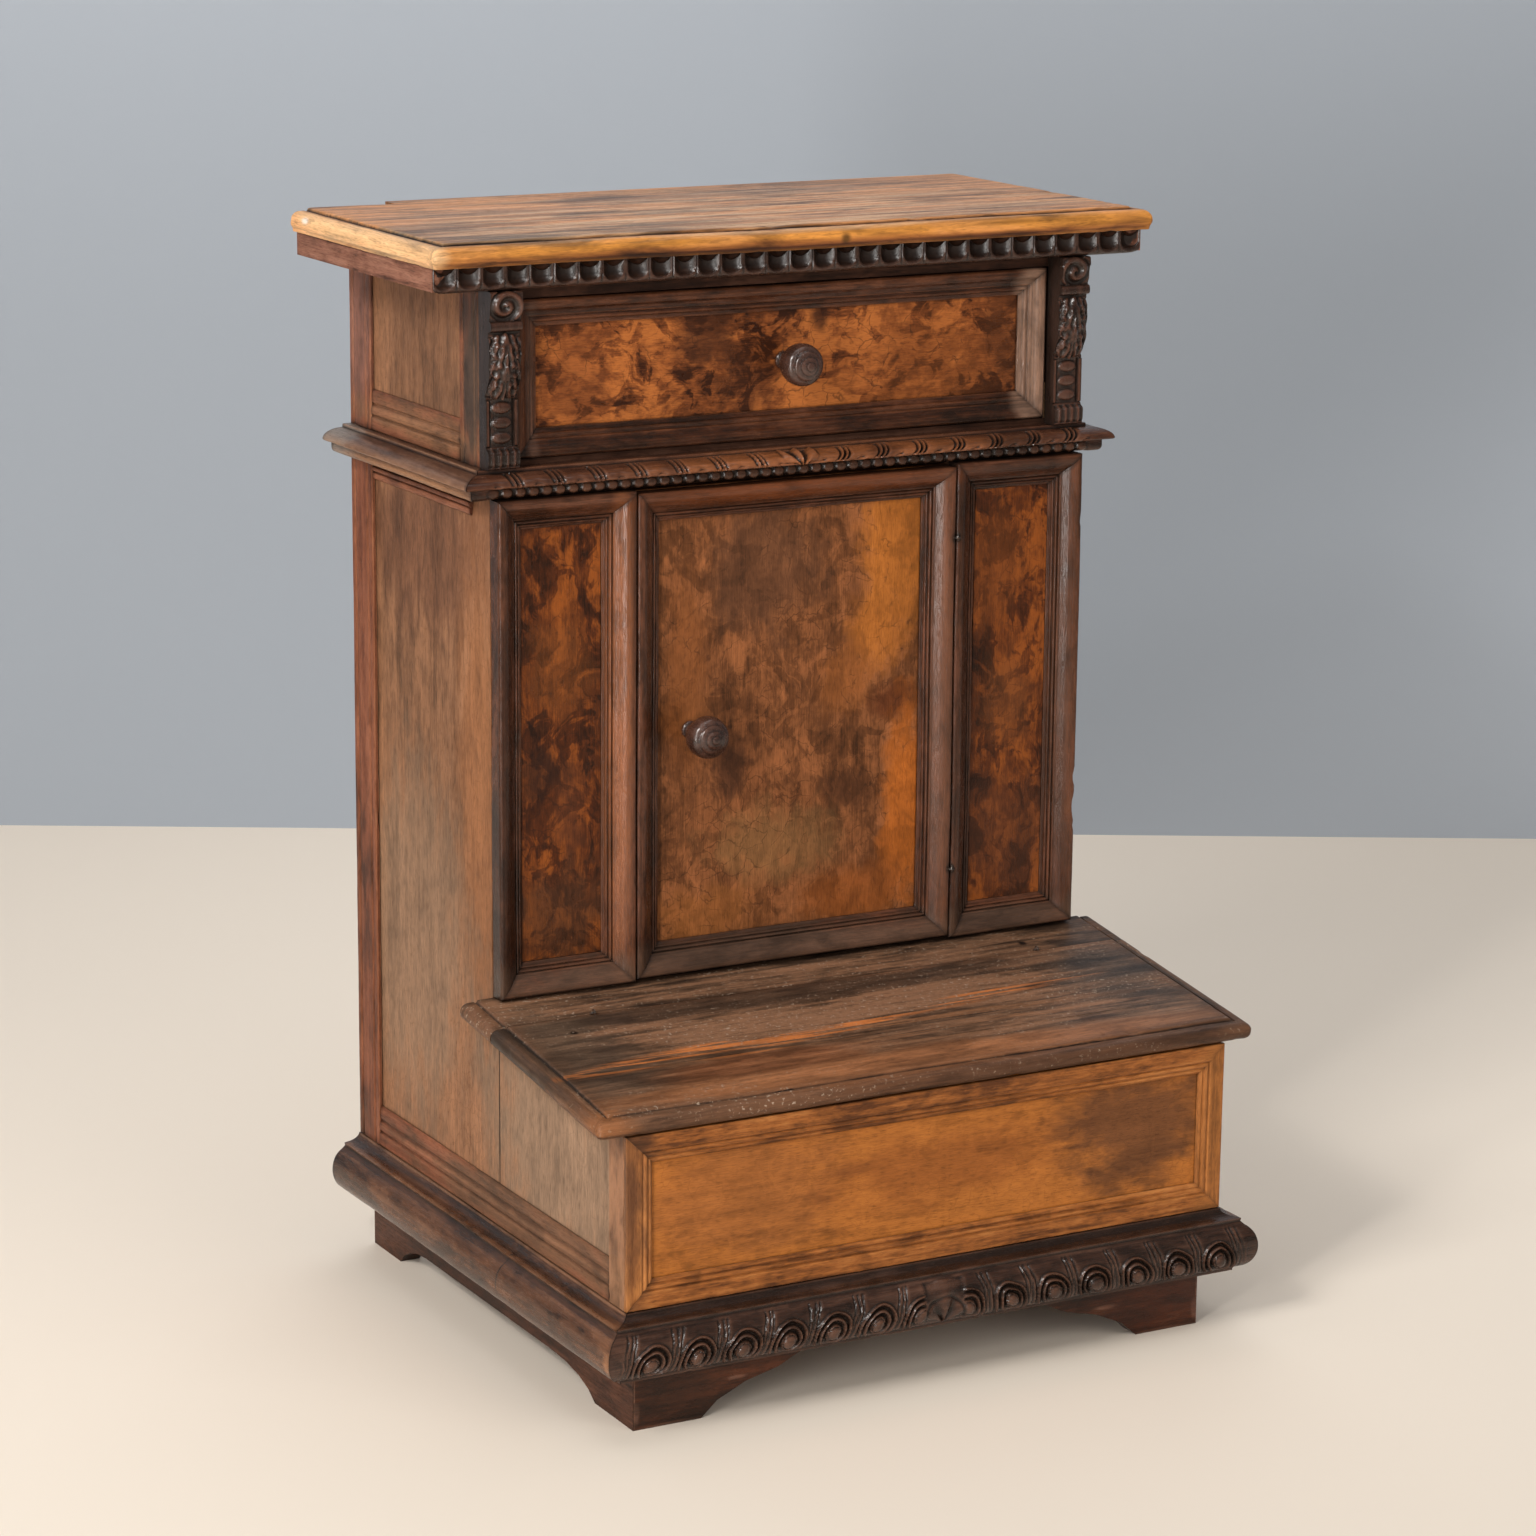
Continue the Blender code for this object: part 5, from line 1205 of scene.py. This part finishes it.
def base_carving(pitch, half):
    """The relief of the base: an eye in rings of arcs for each scale, and a spray in the middle."""
    middle = TORUS_MIDDLE - BASE_UNDERSIDE
    eye_radius, arc_pitch = 0.0054, 0.0050

    def carve(reach, up, out):
        near = step_up(half + 0.018 - np.abs(reach), 0.0, 0.014)
        swell = (up - middle) / TORUS_HALF
        torus = step_up(swell, -1.0, -0.82) * (1 - step_up(swell, 0.88, 1.0)) * (out > 0.004)
        spots = np.stack((reach, up, out * 0.0), -1).reshape(-1, 3)
        stray = cloud(spots, 0.012, 5).reshape(up.shape) * 0.0017
        part = (((np.abs(reach) + stray) / pitch) % 1 - 0.5) * pitch
        up = up + stray * 0.6
        part = part + 0.22 * (up - middle)
        away = np.hypot(part, (up - 0.0150) * 0.92)
        eye = 0.0044 * dome(away / eye_radius)
        arcs = -0.0022 * np.cos((away - eye_radius) / arc_pitch * math.tau + math.pi) * (away > eye_radius)
        arcs = arcs * (1 - step_up(away, 0.0160, 0.0175))
        side = pitch / 2 - np.abs(part)
        lines = -0.0013 * (hump(side - 0.0006, 0.0011) + hump(side - 0.0040, 0.0010)) * (away > 0.0145)
        spray = np.arctan2(reach, np.maximum(up - 0.006, 1e-4))
        petals = 0.0016 * np.cos(spray * 6) - 0.0012 * hump(np.hypot(reach, up - 0.008) - 0.020, 0.0016)
        scales = step_up(np.abs(reach), 0.016, 0.021)
        return ((eye + arcs + lines) * scales + petals * (1 - scales) - 0.0004) * torus * near

    return carve


def build_base(sizes, finishes):
    """The base moulding: carved in front, plain at the sides."""
    low, high = cad("base_moulding_front")
    half, front_share = 0.2797, 0.80
    under = [((0, low[1] + 0.012, 0.106), (0.40, 0.03, 0.012), (0.022, 0.010, 0.006), 1.0),
             ((0, low[1], 0.0585), (0.40, 0.05, 0.007), (0.070, 0.038, 0.028), 0.85)]
    black = (0.012, 0.006, 0.004), (0.036, 0.016, 0.010), (0.085, 0.040, 0.025)
    front = walnut("base carving", black, worn=0.45, worn_colour=(0.14, 0.064, 0.038), rough=0.20, shine=0.42,
                   soot_and_shade=1.1, stains=under)
    shape = Shape(90)
    shape.length(fine(base_profile(front_share), 0.0008, -0.001), (-half, half), (0, REAR - 0.520, low[2]),
                 X, Z, -Y, (-1 / front_share, -1 / front_share), 1, CLOSE,
                 base_carving(sizes.scale_pitch, half))
    shape.piece("base_carving_front", ["base_moulding_front"], "case", "dark_walnut", front, 0.0001, 0.0005)
    stains = side_stains(0.30, ((0.0, 0.052, 0.30, 0.008, (0.16, 0.08, 0.046), 0.8),))
    stains += side_stains(0.307, ((-0.276, 0.070, 0.012, 0.016, (0.36, 0.15, 0.06), 0.9),), 0.012)
    stains += [((-0.30, -0.07, 0.075), (0.05, 0.0011, 0.04), (0.008, 0.005, 0.004), 1.0)]
    brown = (0.026, 0.011, 0.006), (0.080, 0.031, 0.014), (0.165, 0.068, 0.031)
    plain = walnut("base moulding", brown, worn=0.6, worn_colour=(0.24, 0.12, 0.065), rough=0.24, shine=0.34,
                   stains=stains, soot_and_shade=0.9)
    for label, side in SIDES:
        node = "base_moulding_" + label
        low = cad(node)[0]
        shape = Shape(92 + side)
        shape.length(fine(base_profile(1), 0.0016, -0.001), (0, 0.5197), (side * 0.280, REAR, low[2]), -Y, Z,
                     X * side, (0, -front_share), 1, 0.006)
        shape.piece(node + "_run", [node], "case", "frame_walnut", plain)


def build_feet(sizes, finishes):
    """The bracket feet and the skirts between them."""
    dark = (0.022, 0.008, 0.004), (0.064, 0.022, 0.011), (0.13, 0.052, 0.028)
    dress(["side_skirt_left", "side_skirt_right"], walnut("side skirt", dark, "Y", rough=0.38, soot_and_shade=0.8))
    face = cad("front_foot_left")[0][1]
    stains = []
    for _, side in SIDES:
        stains += front_stains(face, (
            (side * 0.2672, 0.026, 0.0011, 0.030, (0.26, 0.13, 0.085), 0.8),
            (side * 0.2652, 0.014, 0.0030, 0.010, (0.24, 0.11, 0.07), 0.7),
            (side * 0.176, 0.0295, 0.012, 0.0022, (0.24, 0.11, 0.07), 0.7),
            (side * 0.235, 0.0010, 0.030, 0.0014, (0.22, 0.10, 0.06), 0.8)), 0.004)
    stains += front_stains(face, ((-0.23, 0.03, 0.06, 0.04, (0.022, 0.009, 0.0045), 0.7),
                                  (0.23, 0.03, 0.06, 0.04, (0.078, 0.018, 0.006), 0.6)))
    red = (0.016, 0.006, 0.003), (0.042, 0.0125, 0.005), (0.10, 0.028, 0.010)
    dress(["front_foot_left", "front_foot_right"],
          walnut("front foot", red, "X", rough=0.24, shine=0.3, soot_and_shade=0.8, stains=stains))


# Inside and behind

def build_insides(sizes, finishes):
    """The planks and nails of the back, the boards inside, and the timbers of the front."""
    low, high = cad("back_board")
    thick = high[1] - low[1]
    seams = (low[0], -0.094, 0.083, high[0])
    nail_heights, nail_inset = (0.111, 0.298, 0.55, 0.726, 0.885), 0.014
    nail_head = [(0.0006, 0.0011), (0.0022, 0.0009), (0.0034, 0.0002), (0.0036, -0.0012)]
    planks, nails = Shape(110), Shape(111)
    for left, right in zip(seams, seams[1:]):
        wide = right - left
        outline = [(0.0006, 0), (0, 0.0008), (0, thick - 0.0016), (0.0009, thick), (wide - 0.0009, thick),
                   (wide, thick - 0.0016), (wide, 0.0008), (wide - 0.0006, 0)]
        planks.length(fine(outline, 0.012, thick - 0.002), (low[2], high[2]), (left, low[1], 0), Z, X, Y,
                      step=0.02)
        for height in nail_heights:
            for across in (left + nail_inset, right - nail_inset):
                stray = nails.random.uniform(-0.003, 0.003, 2)
                nails.turned(nail_head, (across + stray[0], high[1], height + stray[1]), Y, 9)
    planks.piece("back_planks", ["back_board"], "case", "inside_poplar", bare_poplar("back poplar"),
                 0.0001, 0.0004, 3)
    nails.piece("back_nails", [], "case", "iron", forged_iron(), 0.0, 0.0002, 1)
    dress(["case_floor", "cupboard_floor"], bare_poplar("shelf poplar", "X"))
    dress(["drawer_guide_left", "drawer_guide_right"], bare_poplar("guide poplar", "Y"))
    dark = (0.018, 0.007, 0.004), (0.046, 0.018, 0.010), (0.09, 0.04, 0.024)
    dress(["drawer_top_rail", "lower_front_board", "drawer_bed"],
          walnut("front timbers", dark, "X", soot_and_shade=0.7))
    brown = (0.04, 0.018, 0.011), (0.10, 0.045, 0.026), (0.18, 0.09, 0.055)
    dress(["front_post_left", "front_post_right"], walnut("front posts", brown, "Z", rough=0.45, soot_and_shade=0.7))


def build_hinges(sizes, finishes):
    """The linked wire loops of the door and the lid."""
    iron = forged_iron()
    for name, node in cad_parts.items():
        if "_loop_" in name:
            finish_node(node, iron)
            smooth = node.modifiers.new("round wire", "SUBSURF")
            smooth.levels = smooth.render_levels = 2


# The stage: places are ahead of, left of and above the aim, as the camera looks

EYE = Vector((-1.8005, -3.2522, 1.3456))
AIM = Vector((0, 0, 0.46))
AHEAD = Vector((0.4808, 0.8768, 0))
LEFT = Vector((-0.8768, 0.4808, 0))
UP = Vector((0, 0, 1))
CAMERA_TURN = (-28.736, -13.993, 0.509)
SOFT_WHITE, WHITE = (1, 0.98, 0.95), (1, 1, 1)


def painted_floor_falloff(nodes, place, colour):
    """The floor's colour, with painted light falloff: painted shade near the camera, a little lighter further
    off.
    """
    near, far = shades(colour, 0.82, 1.06)
    soft = nodes.noise(place, (0.9, 0.9, 0.9), 2.0)
    along = nodes.split(place, 0) * AHEAD.x + nodes.split(place, 1) * AHEAD.y + soft * 0.3
    return nodes.mix(along.above(-1.3, 0.9), near, far)


def painted_wall_falloff(nodes, place, colour):
    """The backdrop's colour, with painted light falloff: painted shade towards the right and the floor, and
    painted light low on the right where the object's shadow falls.
    """
    light, dark = shades(colour, 1.40, 0.78)
    across = nodes.split(place, 0) * AHEAD.y - nodes.split(place, 1) * AHEAD.x
    height = nodes.split(place, 2)
    shade = (across.above(-1.6, 1.6) * 0.25 + height.above(1.9, 0.5) * 0.75
             - (across - height).above(0.0, 1.0) * 0.8)
    return nodes.mix(shade, light, dark)


def sheet(name, corners, tone, colour, one_sided):
    """A flat part of the stage. One that is one-sided can't be seen from behind."""
    mesh = bpy.data.meshes.new(name)
    mesh.from_pydata([tuple(corner) for corner in corners], [], [(0, 1, 2, 3)])
    material = bpy.data.materials.new(name)
    nodes = Nodes(material)
    shader = nodes.add("ShaderNodeBsdfPrincipled", {}, {
        "Base Color": tone(nodes, nodes.place(), colour), "Roughness": 0.85})
    if one_sided:
        back = nodes.add("ShaderNodeNewGeometry", {}, {}, "Backfacing")
        clear = nodes.add("ShaderNodeBsdfTransparent", {}, {})
        shader = nodes.add("ShaderNodeMixShader", {}, {0: back, 1: shader, 2: clear})
    nodes.surface(shader)
    mesh.materials.append(material)
    drawn = bpy.data.objects.new(name, mesh)
    bpy.context.scene.collection.objects.link(drawn)
    return drawn


def lamp(name, ahead, left, up, power, colour, wide, tall=0):
    """An area lamp that faces the object, square unless it has a height."""
    light = bpy.data.lights.new(name, "AREA")
    light.energy = power
    light.size = wide
    if tall:
        light.shape = "RECTANGLE"
        light.size_y = tall
    light.color = colour
    hung = bpy.data.objects.new(name, light)
    bpy.context.scene.collection.objects.link(hung)
    hung.location = AIM + AHEAD * ahead + LEFT * left + UP * up
    hung.rotation_euler = (AIM - hung.location).to_track_quat("-Z", "Y").to_euler()
    return hung


def build_stage(sizes):
    """A plain floor and backdrop, soft lamps, and the camera at the photograph's place."""
    scene = bpy.context.scene
    scene.view_settings.view_transform = "Standard"
    reach, far, half, tall = 9, 5.32, 5, 4.5
    foot = EYE + AHEAD * far
    foot.z = 0
    wide, high = LEFT * half, UP * tall
    # The floor and the backdrop carry painted light falloff in their colours
    sheet("floor", [(-reach, -reach, 0), (reach, -reach, 0), (reach, reach, 0), (-reach, reach, 0)],
          painted_floor_falloff, sizes.floor, False)
    backdrop = sheet("backdrop", [foot + wide, foot - wide, foot - wide + high, foot + wide + high],
                     painted_wall_falloff, sizes.wall, True)
    backdrop.visible_shadow = False
    lamp("key", -2.5, 1.7, 2.1, sizes.key_power, SOFT_WHITE, 1.1)
    lamp("strip", -2.5, 1.15, 0.25, sizes.strip_power, SOFT_WHITE, 0.24, 1.5)
    lamp("spark", -2.6, 1.2, 1.9, sizes.spark_power, SOFT_WHITE, 0.24)
    fill = lamp("fill", -2.2, -2.4, 1.2, sizes.fill_power, SOFT_WHITE, 2.2)
    fill.visible_glossy = False
    lamp("overhead", -0.2, 0, 2.8, sizes.top_power, WHITE, 2.4)
    lamp("rear", 2.6, 0, 2.2, sizes.rear_power, WHITE, 2.0)
    world = bpy.data.worlds.new("studio")
    scene.world = world
    world.use_nodes = True
    sky = world.node_tree.nodes["Background"]
    sky.inputs["Color"].default_value = (*SOFT_WHITE, 1)
    sky.inputs["Strength"].default_value = sizes.daylight

    view = bpy.data.cameras.new("camera")
    view.lens = sizes.focal_length
    view.sensor_width = 36
    view.shift_y = 48 / 1536
    view.clip_end = 50
    camera = bpy.data.objects.new("camera", view)
    scene.collection.objects.link(camera)
    yaw, pitch, roll = (math.radians(angle) for angle in CAMERA_TURN)
    camera.matrix_world = (Matrix.Translation(EYE) @ Matrix.Rotation(yaw, 4, "Z") @
                           Matrix.Rotation(math.radians(90) + pitch, 4, "X") @ Matrix.Rotation(roll, 4, "Z"))
    scene.camera = camera


# Operators

def make(context, build):
    """Build one piece or group of pieces with the scene's sizes and colours."""
    build(context.scene.carving_sizes, context.scene.walnut_finishes)
    return {"FINISHED"}


class PRIE_DIEU_OT_stage(bpy.types.Operator):
    """Add the floor, the backdrop, the lamps and the camera"""

    bl_idname = "prie_dieu.stage"
    bl_label = "Stage"

    def execute(self, context):
        build_stage(context.scene.stage_sizes)
        return {"FINISHED"}


class PRIE_DIEU_OT_top(bpy.types.Operator):
    """Add the top board and its bands"""

    bl_idname = "prie_dieu.top"
    bl_label = "Top board"
    bl_options = {"REGISTER", "UNDO"}

    def execute(self, context):
        return make(context, build_top)


class PRIE_DIEU_OT_fluted_strip(bpy.types.Operator):
    """Add the strip of flutes under the top"""

    bl_idname = "prie_dieu.fluted_strip"
    bl_label = "Fluted strip"
    bl_options = {"REGISTER", "UNDO"}

    def execute(self, context):
        return make(context, build_fluted_strip)


class PRIE_DIEU_OT_corbels(bpy.types.Operator):
    """Add the carved brackets beside the drawer"""

    bl_idname = "prie_dieu.corbels"
    bl_label = "Corbels"
    bl_options = {"REGISTER", "UNDO"}

    def execute(self, context):
        return make(context, build_corbels)


class PRIE_DIEU_OT_drawer(bpy.types.Operator):
    """Add the drawer and the knobs"""

    bl_idname = "prie_dieu.drawer"
    bl_label = "Drawer"
    bl_options = {"REGISTER", "UNDO"}

    def execute(self, context):
        return make(context, build_drawer)


class PRIE_DIEU_OT_sides(bpy.types.Operator):
    """Add the side boards and their thin frames"""

    bl_idname = "prie_dieu.sides"
    bl_label = "Sides"
    bl_options = {"REGISTER", "UNDO"}

    def execute(self, context):
        return make(context, build_sides)


class PRIE_DIEU_OT_waist(bpy.types.Operator):
    """Add the carved waist moulding"""

    bl_idname = "prie_dieu.waist"
    bl_label = "Waist moulding"
    bl_options = {"REGISTER", "UNDO"}

    def execute(self, context):
        return make(context, build_waist)


class PRIE_DIEU_OT_pilasters(bpy.types.Operator):
    """Add the framed burr panels beside the door"""

    bl_idname = "prie_dieu.pilasters"
    bl_label = "Pilasters"
    bl_options = {"REGISTER", "UNDO"}

    def execute(self, context):
        return make(context, build_pilasters)


class PRIE_DIEU_OT_door(bpy.types.Operator):
    """Add the framed door"""

    bl_idname = "prie_dieu.door"
    bl_label = "Door"
    bl_options = {"REGISTER", "UNDO"}

    def execute(self, context):
        return make(context, build_door)


class PRIE_DIEU_OT_kneeling_board(bpy.types.Operator):
    """Add the lid and the strip behind it"""

    bl_idname = "prie_dieu.kneeling_board"
    bl_label = "Kneeling board"
    bl_options = {"REGISTER", "UNDO"}

    def execute(self, context):
        return make(context, build_kneeling_board)


class PRIE_DIEU_OT_kneeler_front(bpy.types.Operator):
    """Add the kneeler's framed front"""

    bl_idname = "prie_dieu.kneeler_front"
    bl_label = "Kneeler front"
    bl_options = {"REGISTER", "UNDO"}

    def execute(self, context):
        return make(context, build_kneeler_front)


class PRIE_DIEU_OT_base(bpy.types.Operator):
    """Add the carved base moulding"""

    bl_idname = "prie_dieu.base"
    bl_label = "Base moulding"
    bl_options = {"REGISTER", "UNDO"}

    def execute(self, context):
        return make(context, build_base)


class PRIE_DIEU_OT_feet(bpy.types.Operator):
    """Add the feet and the skirts"""

    bl_idname = "prie_dieu.feet"
    bl_label = "Feet"
    bl_options = {"REGISTER", "UNDO"}

    def execute(self, context):
        return make(context, build_feet)


class PRIE_DIEU_OT_insides(bpy.types.Operator):
    """Add the boards inside and behind"""

    bl_idname = "prie_dieu.insides"
    bl_label = "Inside boards"
    bl_options = {"REGISTER", "UNDO"}

    def execute(self, context):
        return make(context, build_insides)


class PRIE_DIEU_OT_hinges(bpy.types.Operator):
    """Give the wire loops their iron finish and round them"""

    bl_idname = "prie_dieu.hinges"
    bl_label = "Hinges"
    bl_options = {"REGISTER", "UNDO"}

    def execute(self, context):
        return make(context, build_hinges)


OPERATORS = (PRIE_DIEU_OT_stage, PRIE_DIEU_OT_top, PRIE_DIEU_OT_fluted_strip, PRIE_DIEU_OT_corbels,
             PRIE_DIEU_OT_drawer, PRIE_DIEU_OT_sides, PRIE_DIEU_OT_waist, PRIE_DIEU_OT_pilasters,
             PRIE_DIEU_OT_door, PRIE_DIEU_OT_kneeling_board, PRIE_DIEU_OT_kneeler_front, PRIE_DIEU_OT_base,
             PRIE_DIEU_OT_feet, PRIE_DIEU_OT_insides, PRIE_DIEU_OT_hinges)
GROUPS = (("carving_sizes", CarvingSizes), ("walnut_finishes", WalnutFinishes), ("stage_sizes", StageSizes))


class PRIE_DIEU_PT_sidebar(bpy.types.Panel):
    """The prie-dieu's operators, sizes and colours"""

    bl_idname = "PRIE_DIEU_PT_sidebar"
    bl_label = "Prie-dieu"
    bl_space_type = "VIEW_3D"
    bl_region_type = "UI"
    bl_category = "Prie-dieu"

    def draw(self, context):
        """Show a button for each operator, then the sizes and colours of each group."""
        for item in OPERATORS:
            self.layout.operator(item.bl_idname)
        for name, _ in GROUPS:
            group = getattr(context.scene, name)
            box = self.layout.box()
            for field in group.bl_rna.properties.keys():
                if field not in {"rna_type", "name"}:
                    box.prop(group, field)


CLASSES = (*(group for _, group in GROUPS), *OPERATORS, PRIE_DIEU_PT_sidebar)


def register():
    """Add the operators, the sizes and the panel to Blender."""
    for item in CLASSES:
        bpy.utils.register_class(item)
    for name, group in GROUPS:
        setattr(bpy.types.Scene, name, PointerProperty(type=group))


def unregister():
    """Take them out again."""
    for name, _ in GROUPS:
        delattr(bpy.types.Scene, name)
    for item in reversed(CLASSES):
        bpy.utils.unregister_class(item)


def main():
    """Register the add-on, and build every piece."""
    register()
    bpy.ops.prie_dieu.stage()
    bpy.ops.prie_dieu.top()
    bpy.ops.prie_dieu.fluted_strip()
    bpy.ops.prie_dieu.corbels()
    bpy.ops.prie_dieu.drawer()
    bpy.ops.prie_dieu.sides()
    bpy.ops.prie_dieu.waist()
    bpy.ops.prie_dieu.pilasters()
    bpy.ops.prie_dieu.door()
    bpy.ops.prie_dieu.kneeling_board()
    bpy.ops.prie_dieu.kneeler_front()
    bpy.ops.prie_dieu.base()
    bpy.ops.prie_dieu.feet()
    bpy.ops.prie_dieu.insides()
    bpy.ops.prie_dieu.hinges()


if __name__ == "__main__":
    main()
